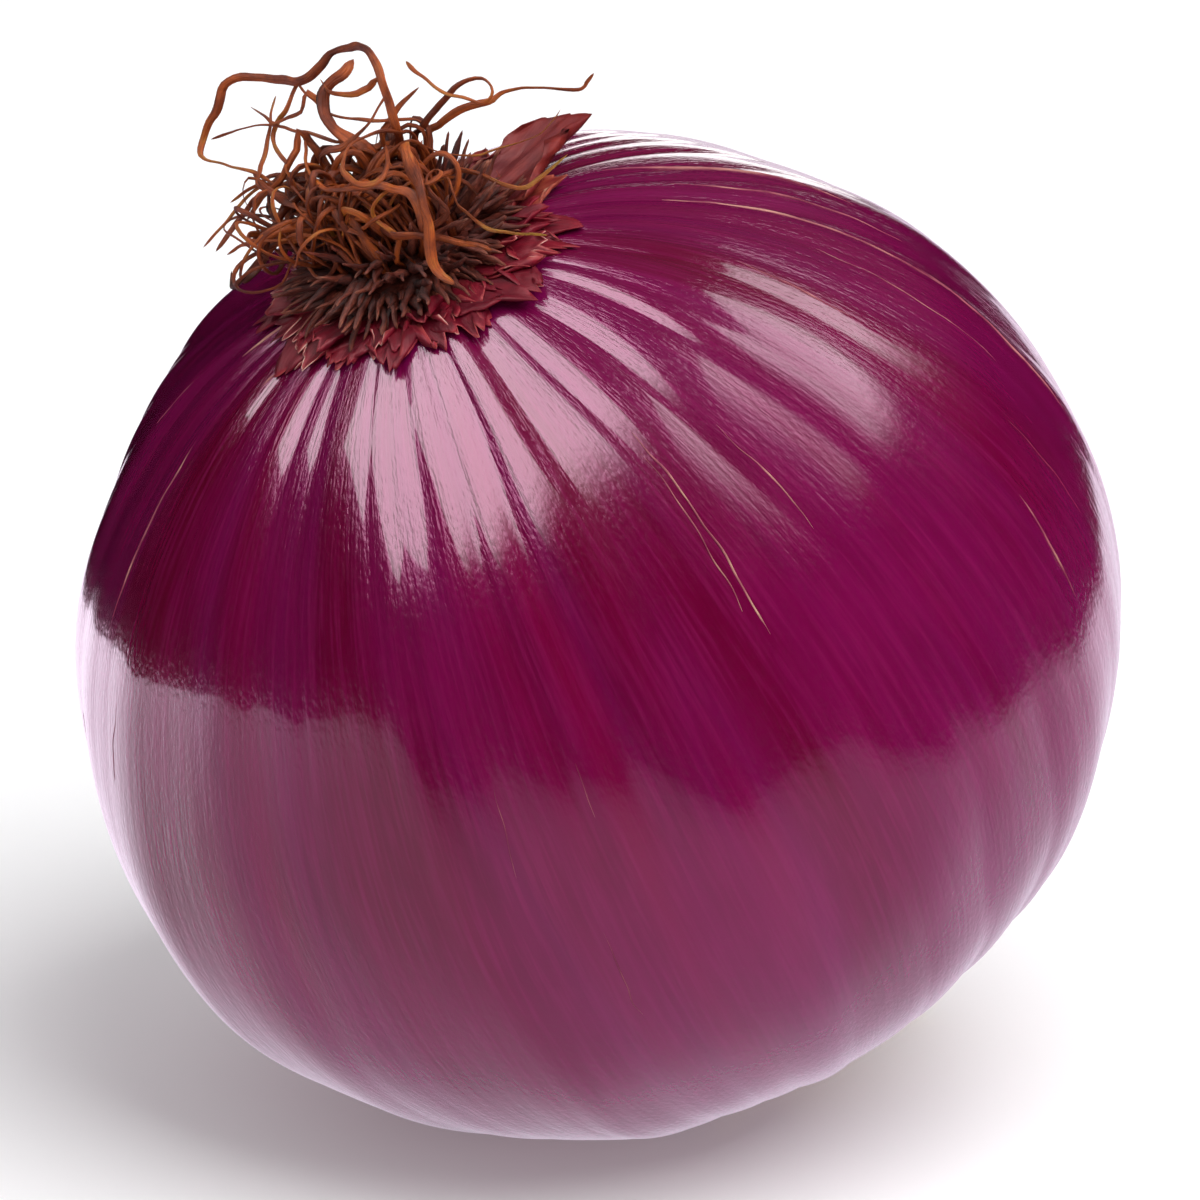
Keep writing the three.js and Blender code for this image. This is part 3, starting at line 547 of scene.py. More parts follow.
class Nodes:
    """Short calls for the nodes of one material, lamp or world."""

    def __init__(self, tree):
        self.tree = tree

    def node(self, kind):
        return self.tree.nodes.new("ShaderNode" + kind)

    def put(self, socket, value):
        """Sets a socket to a value, or links it to another node's socket."""
        if isinstance(value, bpy.types.NodeSocket):
            self.tree.links.new(value, socket)
        else:
            socket.default_value = value

    def attribute(self, name, output):
        node = self.node("Attribute")
        node.attribute_name = name
        return node.outputs[output]

    def maths(self, operation, first, second=0.0, clamp=False):
        node = self.node("Math")
        node.operation = operation
        node.use_clamp = clamp
        self.put(node.inputs[0], first)
        self.put(node.inputs[1], second)
        return node.outputs[0]

    def noise(self, vector, stretch, detail=3.0, roughness=0.55, distortion=0.0):
        """Noise of about one feature per 1/stretch mm along each axis of the grain."""
        scaled = self.node("VectorMath")
        scaled.operation = "MULTIPLY"
        self.put(scaled.inputs[0], vector)
        scaled.inputs[1].default_value = stretch
        node = self.node("TexNoise")
        self.put(node.inputs["Vector"], scaled.outputs[0])
        node.inputs["Scale"].default_value = 1.0
        node.inputs["Detail"].default_value = detail
        node.inputs["Roughness"].default_value = roughness
        node.inputs["Distortion"].default_value = distortion
        return node.outputs["Fac"]

    def ramp(self, factor, stops):
        """A smooth colour ramp; stops are (place, screen colour)."""
        node = self.node("ValToRGB")
        while len(node.color_ramp.elements) < len(stops):
            node.color_ramp.elements.new(0.5)
        for element, (place, colour) in zip(node.color_ramp.elements, stops):
            element.position = place
            element.color = srgb(*colour)
        self.put(node.inputs["Fac"], factor)
        return node.outputs["Color"]

    def mix(self, factor, first, second):
        node = self.node("Mix")
        node.data_type = "RGBA"
        self.put(node.inputs[0], factor)
        self.put(node.inputs[6], first)
        self.put(node.inputs[7], second)
        return node.outputs[2]

    def spread(self, value, from_low, from_high, low, high, change="LINEAR"):
        """Maps a value from one range to another, clamped."""
        node = self.node("MapRange")
        node.interpolation_type = change
        self.put(node.inputs["Value"], value)
        node.inputs["From Min"].default_value = from_low
        node.inputs["From Max"].default_value = from_high
        node.inputs["To Min"].default_value = low
        node.inputs["To Max"].default_value = high
        return node.outputs["Result"]

    def parts(self, vector):
        """The X, Y and Z of a vector."""
        node = self.node("SeparateXYZ")
        self.put(node.inputs[0], vector)
        return node.outputs

    def bump(self, height, distance_mm, below=None):
        """Raises the shading normal by a height, over a bump that is already there."""
        node = self.node("Bump")
        node.inputs["Strength"].default_value = 1.0
        node.inputs["Distance"].default_value = distance_mm * MM
        self.put(node.inputs["Height"], height)
        if below is not None:
            self.put(node.inputs["Normal"], below)
        return node.outputs["Normal"]


class Surface(Nodes):
    """One new material."""

    def __init__(self, name):
        self.material = bpy.data.materials.new(name)
        self.material.use_nodes = True
        super().__init__(self.material.node_tree)

    def finish(self, **values):
        """Sets the shader's sockets; an underscore in a name stands for a space."""
        shader = self.tree.nodes["Principled BSDF"]
        for name, value in values.items():
            self.put(shader.inputs[name.replace("_", " ")], value)
        return self.material


def skin_material():
    """Glossy purple and crimson outer scale: meridian bands, fibres and a fine crystalline surface."""
    skin = Surface("onion_skin")
    grain = skin.attribute("grain", "Vector")
    neck = skin.attribute("tone", "Fac")
    bands = skin.noise(grain, (0.09, 0.09, 0.010), 2.0, 0.5)
    veins = skin.noise(grain, (0.40, 0.40, 0.018), 3.0, 0.6)
    fibres = skin.noise(grain, (2.0, 2.0, 0.11), 2.5, 0.5, 0.2)
    mottle = skin.noise(grain, (0.09, 0.09, 0.05), 3.0, 0.6)
    speckle = skin.noise(grain, (2.6, 2.6, 1.4), 1.5, 0.5)
    strips = skin.noise(grain, (0.9, 0.9, 0.03), 2.0, 0.5)
    banded = skin.ramp(bands, SKIN_BANDS)
    darkened = skin.mix(skin.spread(veins, 0.40, 0.66, 0.0, 0.40), banded, srgb(*VEIN_COLOUR))
    lined = skin.mix(skin.spread(fibres, 0.46, 0.74, 0.0, 0.42), darkened, srgb(*FIBRE_COLOUR))
    mottled = skin.mix(skin.spread(mottle, 0.42, 0.70, 0.0, 0.40), lined, srgb(*MOTTLE_COLOUR))
    far = skin.spread(skin.parts(grain)["Z"], FAR_START, FAR_FULL, 0.0, 0.5)
    purpled = skin.mix(far, mottled, srgb(*FAR_COLOUR))
    papery = skin.mix(skin.spread(speckle, 0.35, 0.7, 0.3, 0.9), srgb(*NECK_DARK), srgb(*NECK_PALE))
    fine = skin.bump(speckle, SKIN_GRAIN_HEIGHT)
    drawn = skin.bump(fibres, SKIN_GRAIN_HEIGHT, fine)
    return skin.finish(
        Base_Color=skin.mix(neck, purpled, papery),
        Roughness=skin.spread(speckle, 0.3, 0.7, 0.13, 0.22),
        Normal=skin.bump(strips, SKIN_STRIP_HEIGHT, drawn),
        Specular_IOR_Level=0.46, Specular_Tint=(1.0, 0.50, 0.74, 1),
        Coat_Weight=0.5, Coat_Roughness=0.05,
    )


def dry_material(name, colours, dark, fibres, detail, patches, patchy, darkening, roughness, bump, gloss,
                 tint=(1, 1, 1, 1)):
    """Dry plant fibre, coloured by tone with patches along it, and dark streaks between its fibres."""
    dry = Surface(name)
    grain = dry.attribute("grain", "Vector")
    tone = dry.attribute("tone", "Fac")
    lines = dry.noise(grain, fibres, *detail)
    clouds = dry.noise(grain, patches, 3.0, 0.6)
    shade = dry.maths("ADD", tone, dry.spread(clouds, 0.3, 0.7, -patchy, patchy), True)
    low, high, strength = darkening
    streaks = dry.spread(lines, low, high, 0.0, strength)
    return dry.finish(
        Base_Color=dry.mix(streaks, dry.ramp(shade, colours), srgb(*dark)),
        Roughness=dry.spread(lines, 0.3, 0.7, *roughness),
        Normal=dry.bump(lines, bump), Specular_IOR_Level=gloss, Specular_Tint=tint,
    )


def root_material():
    """Root strands: dark brown to orange and straw, with fibres along them."""
    return dry_material(
        "dry_root", ROOT_BROWNS, dark=(84, 34, 16), fibres=(0.5, 7.0, 7.0), detail=(3.0, 0.6),
        patches=(0.45, 0.6, 0.6), patchy=0.24, darkening=(0.40, 0.65, 0.5), roughness=(0.45, 0.7),
        bump=0.2, gloss=0.24,
    )


def stub_material():
    """Broken root stubs and the crown they grow from: dark brown, wrinkled and dusty."""
    return dry_material(
        "root_stub", STUB_BROWNS, dark=(48, 18, 14), fibres=(1.6, 3.4, 3.4), detail=(4.0, 0.65),
        patches=(0.5, 0.8, 0.8), patchy=0.25, darkening=(0.40, 0.60, 0.6), roughness=(0.6, 0.85),
        bump=0.16, gloss=0.3,
    )


def flake_material(name, colours):
    """Torn skin: dark in the middle, paler along parts of the ragged edges."""
    return dry_material(
        name, colours, dark=(92, 22, 38), fibres=(0.35, 3.6, 3.6), detail=(4.0, 0.65),
        patches=(0.5, 0.6, 0.6), patchy=0.2, darkening=(0.45, 0.7, 0.45), roughness=(0.38, 0.6),
        bump=0.08, gloss=0.22, tint=(1.0, 0.6, 0.6, 1),
    )


def neck_material():
    """The dried neck: brown-purple paper with pale straw ridges."""
    return dry_material(
        "dry_neck_paper", NECK_PAPER, dark=(78, 36, 34), fibres=(0.30, 4.0, 4.0), detail=(4.0, 0.6),
        patches=(0.3, 0.9, 0.9), patchy=0.25, darkening=(0.42, 0.62, 0.55), roughness=(0.42, 0.68),
        bump=0.12, gloss=0.4,
    )


def floor_material():
    """A matt pale sweep, faintly uneven and lit a little from below."""
    floor = Surface("pale_floor")
    coordinates = floor.node("TexCoord").outputs["Object"]
    cloud = floor.noise(coordinates, (6.0, 6.0, 6.0), 2.0)
    pale = floor.mix(floor.spread(cloud, 0.3, 0.7, 0.0, 1.0), *FLOOR_PALES)
    return floor.finish(
        Base_Color=pale, Roughness=0.9, Specular_IOR_Level=0.1,
        Emission_Color=(1, 1, 1, 1), Emission_Strength=FLOOR_GLOW,
    )


def table_material():
    """The glow of the pale table that the gloss mirrors; its strength is in the mesh."""
    table = Surface("table_in_the_gloss")
    return table.finish(
        Base_Color=(0, 0, 0, 1), Roughness=1.0, Specular_IOR_Level=0.0,
        Emission_Color=TABLE_COLOUR, Emission_Strength=table.attribute("tone", "Fac"),
    )


# ---------------------------------------------------------------- the skin

def random_ribs():
    """The edges of the ribs round the bulb, and how steep each is at the root, midway and at the neck."""
    widths = 1 + RIB_UNEVENNESS * rng.uniform(-1, 1, RIB_COUNT)
    edges = np.concatenate([[0], np.cumsum(widths)]) / widths.sum() * math.tau
    return {
        "edges": edges,
        "root": rng.uniform(*ROOT_STEEPNESS, RIB_COUNT),
        "middle": rng.uniform(*MIDDLE_STEEPNESS, RIB_COUNT),
        "neck": rng.uniform(*NECK_STEEPNESS, RIB_COUNT),
    }


def random_swells():
    """Broad waves round the bulb as (cycles, amplitude, phase, sway, sway phase), and shallow dents."""
    waves = [
        (cycles, amplitude, rng.uniform(0, math.tau), rng.uniform(0.1, 0.3), rng.uniform(0, math.tau))
        for cycles, amplitude in BROAD_WAVES
    ]
    dents = [
        (
            unit(rng.normal(size=3)) * math.tau / (DENT_LENGTH * rng.uniform(0.7, 1.5)),
            rng.uniform(0, math.tau),
        )
        for _ in range(DENT_COUNT)
    ]
    return waves, dents


RIBS = random_ribs()
WAVES, DENTS = random_swells()


def rib_relief(polar, azimuth):
    """Height of the long ribs in mm: rounded strips between thin valleys, finest near the root."""
    meander = 0.012 * np.sin(polar * 5 + 3 * np.sin(azimuth * 3)) + 0.008 * np.sin(polar * 11 + azimuth * 9)
    place = np.interp((azimuth + meander) % math.tau, RIBS["edges"], np.arange(RIB_COUNT + 1))
    rib = np.minimum(place.astype(int), RIB_COUNT - 1)
    across = 2 * (place - rib) - 1
    half_width = np.diff(RIBS["edges"])[rib] / 2 * BULB_RADIUS * np.sin(polar)
    root, middle, neck = RIBS["root"][rib], RIBS["middle"][rib], RIBS["neck"][rib]
    steepness = root + (middle - root) * smoothstep(0.30, 1.0, polar)
    steepness = steepness + (neck - middle) * smoothstep(1.9, 2.9, polar)
    return steepness * half_width * (1 - across**2) / 2


def broad_relief(polar, azimuth):
    """Height of the broad waves round the bulb and of its shallow dents, in mm."""
    height = np.zeros_like(polar)
    for cycles, amplitude, phase, sway, sway_phase in WAVES:
        turn = cycles * azimuth + phase + sway * np.sin(polar * 2 + sway_phase)
        height = height + amplitude * np.sin(polar) * np.cos(turn)
    places = bulb_point(polar, azimuth)
    for direction, phase in DENTS:
        height = height + DENT_HEIGHT / 3 * np.cos(places @ direction + phase)
    return height


def skin_point(polar, azimuth, raised=0.0):
    """Points on the ribbed skin, or raised above it, in the bulb frame."""
    relief = rib_relief(polar, azimuth) + broad_relief(polar, azimuth) - MEAN_RELIEF * np.sin(polar)
    return bulb_point(polar, azimuth, relief + raised)


def add_crease(shape, start_azimuth, end_azimuth, start_polar, end_polar, width, tone=CREASE_TONE):
    """A thin pale ridge where the dry outer skin has creased along a meridian."""
    count = max(12, int((end_polar - start_polar) * 1.6))
    part = np.linspace(0, 1, count)
    polar = np.radians(start_polar + (end_polar - start_polar) * part)
    azimuth = np.radians(start_azimuth + (end_azimuth - start_azimuth) * part) + 0.006 * wobble(count, 6)
    slim = np.sin(math.pi * np.clip(part, 0.02, 0.98)) ** 0.5
    path = to_world(skin_point(polar, azimuth, -0.02))
    tones = tone + 0.3 * wobble(count, 5)
    add_tube(shape, path, width * slim, 0.6 * width * slim, tones, sides=6, wrinkle=0.3)


def creases():
    """The creases that are seen clearly, with fainter ones all round."""
    shape = Shape()
    for crease in CREASES:
        add_crease(shape, *crease)
    for _ in range(FAINT_CREASES):
        azimuth, polar = rng.uniform(0, 360), rng.uniform(*FAINT_CREASE_STARTS)
        far_azimuth, far_polar = azimuth + rng.uniform(-2, 2), polar + rng.uniform(*FAINT_CREASE_LENGTHS)
        add_crease(shape, azimuth, far_azimuth, polar, far_polar, FAINT_CREASE_WIDTH, FAINT_CREASE_TONE)
    return shape.piece("skin_creases", flake_material("creased_skin", STRAW_PAPER), [])


def skin_piece():
    """The whole outer scale as one closed mesh, flat where it rests on the floor."""
    rows = np.linspace(0, math.pi, SKIN_ROWS + 1)[1:-1]
    polar, azimuth = np.meshgrid(rows, around(SKIN_COLUMNS), indexing="ij")
    world = to_world(skin_point(polar, azimuth)).reshape(-1, 3)
    points = np.vstack([world, ROOT_POLE, NECK_POLE])
    points[:, 2] = np.maximum(points[:, 2], 0)
    faces = [face[:1] + face[:0:-1] for face in tube_faces(len(rows), SKIN_COLUMNS)]
    grain = np.stack([
        BULB_RADIUS * np.cos(azimuth), BULB_RADIUS * np.sin(azimuth), BULB_RADIUS * polar,
    ], axis=-1).reshape(-1, 3)
    grain = np.vstack([grain, [0, 0, 0], [0, 0, BULB_RADIUS * math.pi]])
    streaks = 0.10 * np.sin(17 * azimuth) + 0.08 * np.sin(29 * azimuth + 2) + 0.06 * np.sin(53 * azimuth + 1)
    papery = smoothstep(*PAPERY_NECK, polar + streaks).ravel()
    shape = Shape()
    shape.add(points, faces, np.concatenate([papery, [0, 1]]), grain)
    return shape.piece("skin", skin_material(), ["bulb"])


# ---------------------------------------------------------------- the root tuft

def from_pole(route):
    """Points given across and up the camera's view and by height over the plate, in the world."""
    route = np.asarray(route, float)
    across, up, height = route[:, 0], route[:, 1], route[:, 2]
    rise = ROOT_DIRECTION @ UPWARD
    depth = (height - across * (ROOT_DIRECTION @ SIDEWAYS) - up * rise) / (ROOT_DIRECTION @ TOWARD)
    return ROOT_POLE + across[:, None] * SIDEWAYS + up[:, None] * UPWARD + depth[:, None] * TOWARD


def rooted(route):
    """Turns a route to start at its inner end and joins that end to the plate."""
    inner, outer = np.linalg.norm(route[0] - ROOT_POLE), np.linalg.norm(route[-1] - ROOT_POLE)
    route = route if inner <= outer else route[::-1]
    offset = route[0] - ROOT_POLE
    flat = offset - ROOT_DIRECTION * (offset @ ROOT_DIRECTION)
    reach = min(1.0, PLATE_RADIUS * 0.55 / max(np.linalg.norm(flat), 1e-6))
    base = ROOT_POLE + flat * reach + ROOT_DIRECTION * PLATE_HEIGHT / 2
    return np.vstack([base, route])


def strand_sizes(count, width):
    """Width, thickness and slimming tip of one strand."""
    part = np.linspace(0, 1, count)
    slim = 1 - 0.45 * smoothstep(0.55, 1, part) - 0.25 * smoothstep(0.97, 1, part)
    wide = width * slim * (1 + 0.34 * wobble(count, 9))
    flat = RIBBON_FLATNESS if width > RIBBON_WIDTH else STRING_FLATNESS
    return wide * STRAND_SWELL, wide * flat * (1 + 0.3 * wobble(count, 11))


def long_strands():
    """The strands that make the tuft's outline, each along its own route."""
    shape = Shape()
    for tone, width, route in STRANDS:
        path = crinkled(smooth_route(rooted(from_pole(route)), STRAND_STEP), STRAND_CRINKLE)
        wide, thick = strand_sizes(len(path), width)
        part = np.linspace(0, 1, len(path))
        shade = 0.5 + (tone - 0.5) * smoothstep(0.35, 0.95, part) + 0.18 * wobble(len(path), 12)
        shade = shade - 0.25 * (1 - part) ** 3
        add_tube(shape, path, wide, thick, shade, sides=8)
    names = [f"root_{number:02d}" for number in range(1, ROOT_NODES + 1)]
    return shape.piece("root_strands", root_material(), names)


def curling_route():
    """One dry strand that grows from the plate and curls about inside the tuft, in the bulb frame."""
    angle, radius = rng.uniform(0, math.tau), TANGLE_FOOT * math.sqrt(rng.uniform())
    place = np.array([radius * math.cos(angle), radius * math.sin(angle), ROOT_HALF + 1.2])
    heading = unit(np.array([math.cos(angle) - 0.5, math.sin(angle), rng.uniform(0.5, 1.6)]))
    spin = unit(rng.normal(size=3))
    bend = rng.uniform(*TANGLE_BENDS)
    route = [place]
    for _ in range(rng.integers(*TANGLE_JOINTS)):
        spin = unit(spin + 0.35 * rng.normal(size=3))
        heading = unit(heading + np.cross(spin, heading) * bend * TANGLE_STEP)
        outside = (place - DOME_CENTRE) / DOME_SIZE
        far = np.linalg.norm(outside)
        if far > 1:
            heading = unit(heading - outside / far * 0.8 * (far - 0.7))
        if place[2] < ROOT_HALF + 3.0:
            heading = unit(heading + np.array([0, 0, 0.5]))
        place = place + heading * TANGLE_STEP
        route.append(place)
    return np.array(route)


def tangle():
    """The dense middle of the tuft: many thin curling strands, darker low down."""
    shape = Shape()
    for _ in range(TANGLE_STRANDS):
        path = crinkled(to_world(smooth_route(curling_route(), FINE_STEP)), TANGLE_CRINKLE)
        wide, thick = strand_sizes(len(path), rng.uniform(*TANGLE_WIDTHS))
        height = (path - ROOT_POLE) @ ROOT_DIRECTION
        shade = rng.uniform(*TANGLE_TONES) - 0.2 * smoothstep(6, 1, height) + 0.1 * wobble(len(path), 10)
        add_tube(shape, path, wide, thick, shade, sides=6)
    return shape.piece("root_tangle", root_material(), [])


def stub_route(azimuth, start, height, climb, length):
    """A short stiff stub that grows outward and droops a little, in the bulb frame."""
    outward = np.array([math.cos(azimuth), math.sin(azimuth), 0])
    sideways = np.array([-math.sin(azimuth), math.cos(azimuth), 0])
    part = np.linspace(0, 1, 7)[:, None]
    lean = math.cos(climb) * outward + math.sin(climb) * np.array([0, 0, 1])
    sway = rng.uniform(-0.5, 0.5) * part**1.4 * length * (1 + 0.4 * np.sin(5 * part))
    droop = rng.uniform(-0.25, 0.40) * part**2 * length
    base = outward * (start - 1.0) + np.array([0, 0, ROOT_HALF + height - 0.4])
    return base + lean * part * length + sideways * sway - np.array([0, 0, 1]) * droop


def stubs():
    """Tier on tier of broken dark stubs that radiate from the crown."""
    shape = Shape()
    for count, start, height, climb, length in STUB_TIERS:
        for k in range(count):
            azimuth = (k + rng.uniform(0, 0.9)) / count * math.tau
            grown = length * rng.uniform(*STUB_GROWTH)
            lean = math.radians(climb + rng.uniform(-STUB_TILT, STUB_TILT))
            path = to_world(smooth_route(stub_route(azimuth, start, height, lean, grown), FINE_STEP))
            part = np.linspace(0, 1, len(path))
            wide = rng.uniform(*STUB_WIDTHS) * (1 - 0.72 * part**1.5) * (1 + 0.3 * wobble(len(path), 3))
            shade = rng.uniform(*STUB_TONES) + 0.35 * smoothstep(0.75, 1, part)
            add_tube(shape, path, wide, wide * 0.7, shade, sides=7, wrinkle=0.34)
    return shape.piece("root_stubs", stub_material(), [])


def crown():
    """The domed corky plate that every root grows from."""
    ring, turn = np.meshgrid(np.linspace(1, 0.04, CROWN_RINGS), around(CROWN_SIDES), indexing="ij")
    radius = PLATE_RADIUS * ring * (1 + 0.05 * np.cos(9 * turn) * ring)
    lumps = 0.18 * np.cos(13 * turn + 7 * ring) * np.sin(math.pi * ring) + 0.12 * np.cos(23 * ring)
    height = PLATE_HEIGHT * (1 - ring**2) + lumps * (1 - ring**4) - CROWN_SKIRT * smoothstep(0.9, 1, ring)
    points = np.stack([radius * np.cos(turn), radius * np.sin(turn), ROOT_HALF + height], axis=-1)
    under, top = [0, 0, ROOT_HALF - CROWN_SKIRT], [0, 0, ROOT_HALF + PLATE_HEIGHT]
    everything = np.vstack([points.reshape(-1, 3), [under], [top]])
    shape = Shape()
    shape.add(to_world(everything), tube_faces(CROWN_RINGS, CROWN_SIDES), CROWN_TONE, everything)
    return shape.piece("basal_crown", stub_material(), ["basal_plate"])


def add_flake(shape, azimuth, start, length, width, lift, ragged, tone, sway,
              crumple=0.7, columns=13, rows=13):
    """A torn flap of skin that lies on the bulb from start outward, its ragged tip lifted."""
    across = np.linspace(-1, 1, columns)[None, :]
    along = np.linspace(0, 1, rows)[:, None]
    teeth = 1 - ragged * (0.5 + 0.5 * wobble(columns, 2.2))[None, :]
    teeth = teeth - 0.30 * across**2
    torn_sides = 1 + 0.16 * wobble(rows, 2.5)[:, None]
    taper = (0.72 + 0.5 * np.sin(math.pi * (0.15 + 0.6 * along))) * (1 - 0.5 * along**4)
    aside = across * width / 2 * taper * torn_sides
    rho = start + along * length * teeth
    cupped = rng.uniform(-0.5, 0.6) * across**2 * along
    creased = 0.16 * wobble(columns, 3)[None, :] * along + 0.12 * wobble(rows, 4)[:, None] * along
    cupped, creased = cupped * crumple, creased * crumple
    raised = 0.14 + lift * along**1.6 + np.maximum(cupped + creased, -0.1)
    polar = np.arcsin(np.clip(rho / BULB_RADIUS, 0, 0.95))
    turn = azimuth + aside / rho + sway * along**2
    grid = to_world(skin_point(polar, turn, raised))
    edge = np.maximum(np.abs(across) ** 3 * 0.8, along**4 * np.ones_like(across))
    rim = 0.62 * smoothstep(0.6, 1, edge) * np.clip(0.7 + 0.7 * wobble(rows, 2.5)[:, None], 0, 1)
    tones = tone + rim + 0.1 * wobble(columns, 3)[None, :]
    seed = rng.uniform(0, 80)
    grain = np.stack([rho + seed, aside + seed, np.full(rho.shape, seed)], axis=-1)
    thickness = FLAKE_THICKNESS * (1 - 0.7 * smoothstep(0.6, 1, edge))
    add_sheet(shape, grid, thickness, np.clip(tones, 0, 1), grain)


def torn_skin():
    """The ring of torn skin round the plate, and the big dry flap that curls up behind it."""
    ring = Shape()
    for count, start, length, lift, width in FLAKE_TIERS:
        for k in range(count):
            azimuth = (k + rng.uniform(-0.3, 0.3)) / count * math.tau
            long, wide = length * rng.uniform(*FLAKE_LENGTHS), width * rng.uniform(*FLAKE_WIDTHS)
            lifted, ragged = lift * rng.uniform(*FLAKE_LIFTS), rng.uniform(*FLAKE_RAGGEDNESS)
            tone, sway = rng.uniform(*FLAKE_TONES), rng.uniform(-FLAKE_SWAY, FLAKE_SWAY)
            add_flake(ring, azimuth, start, long, wide, lifted, ragged, tone, sway)
    for azimuth, start, length, width, lift, tone in BIG_FLAKES:
        sway = rng.uniform(-BIG_FLAKE_SWAY, BIG_FLAKE_SWAY)
        add_flake(ring, math.radians(azimuth), start, length, width, lift, 0.4, tone, sway, 0.6, 19, 17)
    names = [f"skin_flake_{number:02d}" for number in range(1, FLAKE_NODES + 1) if number != FLAP_NODE]
    ring.piece("torn_skin_ring", flake_material("torn_skin_crimson", CRIMSON_PAPER), names)
    flap = Shape()
    for azimuth, start, length, width, lift, tone in FLAPS:
        add_flake(flap, math.radians(azimuth), start, length, width, lift, 0.14, tone, 0.10, 0.7, 25, 21)
    brown = flake_material("torn_skin_brown", BROWN_PAPER)
    flap.piece("torn_skin_flap", brown, [f"skin_flake_{FLAP_NODE:02d}"])


# ---------------------------------------------------------------- the dried neck

def neck_place(reach, aside, height):
    """Points by their reach from under the neck's pole, how far aside they are, and their height."""
    level = NECK_FOOT + reach[..., None] * NECK_ALONG + aside[..., None] * NECK_ACROSS
    return level + height[..., None] * np.array([0, 0, 1])


def neck_stalk():
    """The flattened, pleated stalk that folds over from the bulb and lies along the floor."""
    table = smooth_route(NECK_REACH, NECK_STEP)
    part = np.linspace(0, 1, len(table))[:, None]
    turn = around(NECK_SIDES)
    pleats = 0.10 * np.cos(11 * turn + 2.2 * part) + 0.06 * np.cos(19 * turn - 3 * part + 1)
    torn = 1.1 * wobble(NECK_SIDES, 4)[None, :] * smoothstep(0.8, 1, part)
    reach = table[:, 0][:, None] + torn
    wide = table[:, 2][:, None] / 2 * np.cos(turn) * (1 + pleats)
    high = table[:, 3][:, None] / 2 * np.sin(turn) * (1 + 1.6 * pleats)
    points = neck_place(reach, wide, np.maximum(table[:, 1][:, None] + high, STALK_CLEARANCE))
    ends = np.array([table[0, 0], table[-1, 0] - NECK_TIP_HOLLOW])
    everything = np.vstack([points.reshape(-1, 3), neck_place(ends, np.zeros(2), NECK_END_HEIGHTS)])
    grain = np.stack(np.broadcast_arrays(reach, 3 * np.cos(turn), 3 * np.sin(turn)), axis=-1).reshape(-1, 3)
    tones = np.broadcast_to(0.15 + 0.6 * part, reach.shape).ravel()
    shape = Shape()
    shape.add(
        everything, tube_faces(len(table), NECK_SIDES),
        np.append(tones, [0.1, 0.3]), np.vstack([grain, grain[:2]]),
    )
    return shape.piece("neck_stalk", neck_material(), ["neck"])


def neck_sheets():
    """Torn papery ends that stand out of the stalk, a little above the floor."""
    for number, (side, reach, width, rise, drift) in enumerate(NECK_SHEETS, 1):
        part = np.linspace(0, 1, SHEET_STEPS)[:, None]
        aside = np.linspace(-1, 1, SHEET_STEPS)[None, :]
        torn = 1 - 0.35 * (0.5 + 0.5 * wobble(SHEET_STEPS, 2.5))[None, :]
        forward = SHEET_START + part * reach * torn
        sideways = side + drift * part**1.5 + aside * width / 2 * (1 - 0.45 * part**2)
        height = 1.5 + rise * part**1.5 + 0.5 * aside**2 * part
        height = height + 0.18 * wobble(SHEET_STEPS, 3)[None, :] * part
        grid = neck_place(forward, sideways, np.maximum(height, SHEET_CLEARANCE))
        grain = np.stack(np.broadcast_arrays(forward, sideways, number * 7.0), axis=-1)
        tones = np.broadcast_to(0.5 + 0.45 * part, forward.shape)
        shape = Shape()
        add_sheet(shape, grid, SHEET_THICKNESS, tones, grain)
        shape.piece(f"neck_paper_{number}", neck_material(), [f"neck_sheath_{number:02d}"])


# ---------------------------------------------------------------- the camera and the studio

def make_camera():
    """The long lens that looks at the bulb from a little above."""
    aim = CENTRE + SIDEWAYS * AIM_RIGHT + UPWARD * AIM_UP
    lens = bpy.data.cameras.new("camera")
    lens.lens = CAMERA_LENS
    lens.sensor_width = CAMERA_SENSOR
    lens.clip_start, lens.clip_end = CAMERA_CLIP
    camera = add_object("camera", lens)
    camera.location = Vector((aim + TOWARD * CAMERA_DISTANCE) * MM)
    camera.rotation_mode = "QUATERNION"
    camera.rotation_quaternion = Vector(-TOWARD).to_track_quat("-Z", "Y")
    bpy.context.scene.camera = camera


def add_softbox(name, azimuth, elevation, distance, width, height, gloss, light, fades):
    """A softbox as up to two lamps in one place: one seen in the gloss only, one that lights only."""
    for part, radiance in (("gloss", gloss), ("light", light)):
        if radiance > 0:
            lamp = add_lamp(f"{name}_{part}", azimuth, elevation, distance, width, height, radiance)
            lamp.visible_diffuse = part == "light"
            lamp.visible_glossy = part == "gloss"
            if part == "gloss":
                fade_edges(lamp.data, fades)


def fade_edges(lamp, fades):
    """Dims a lamp towards its edges, over a share of its width or height on each of its four sides."""
    lamp.use_nodes = True
    nodes = Nodes(lamp.node_tree)
    place = nodes.parts(nodes.node("NewGeometry").outputs["Parametric"])
    strength = 1.0
    for (axis, edge), fade in zip((("X", 0), ("X", 1), ("Y", 0), ("Y", 1)), fades):
        share = nodes.spread(place[axis], edge, abs(edge - fade), 0.0, 1.0, "SMOOTHSTEP")
        strength = nodes.maths("MULTIPLY", strength, share)
    nodes.put(lamp.node_tree.nodes["Emission"].inputs["Strength"], strength)


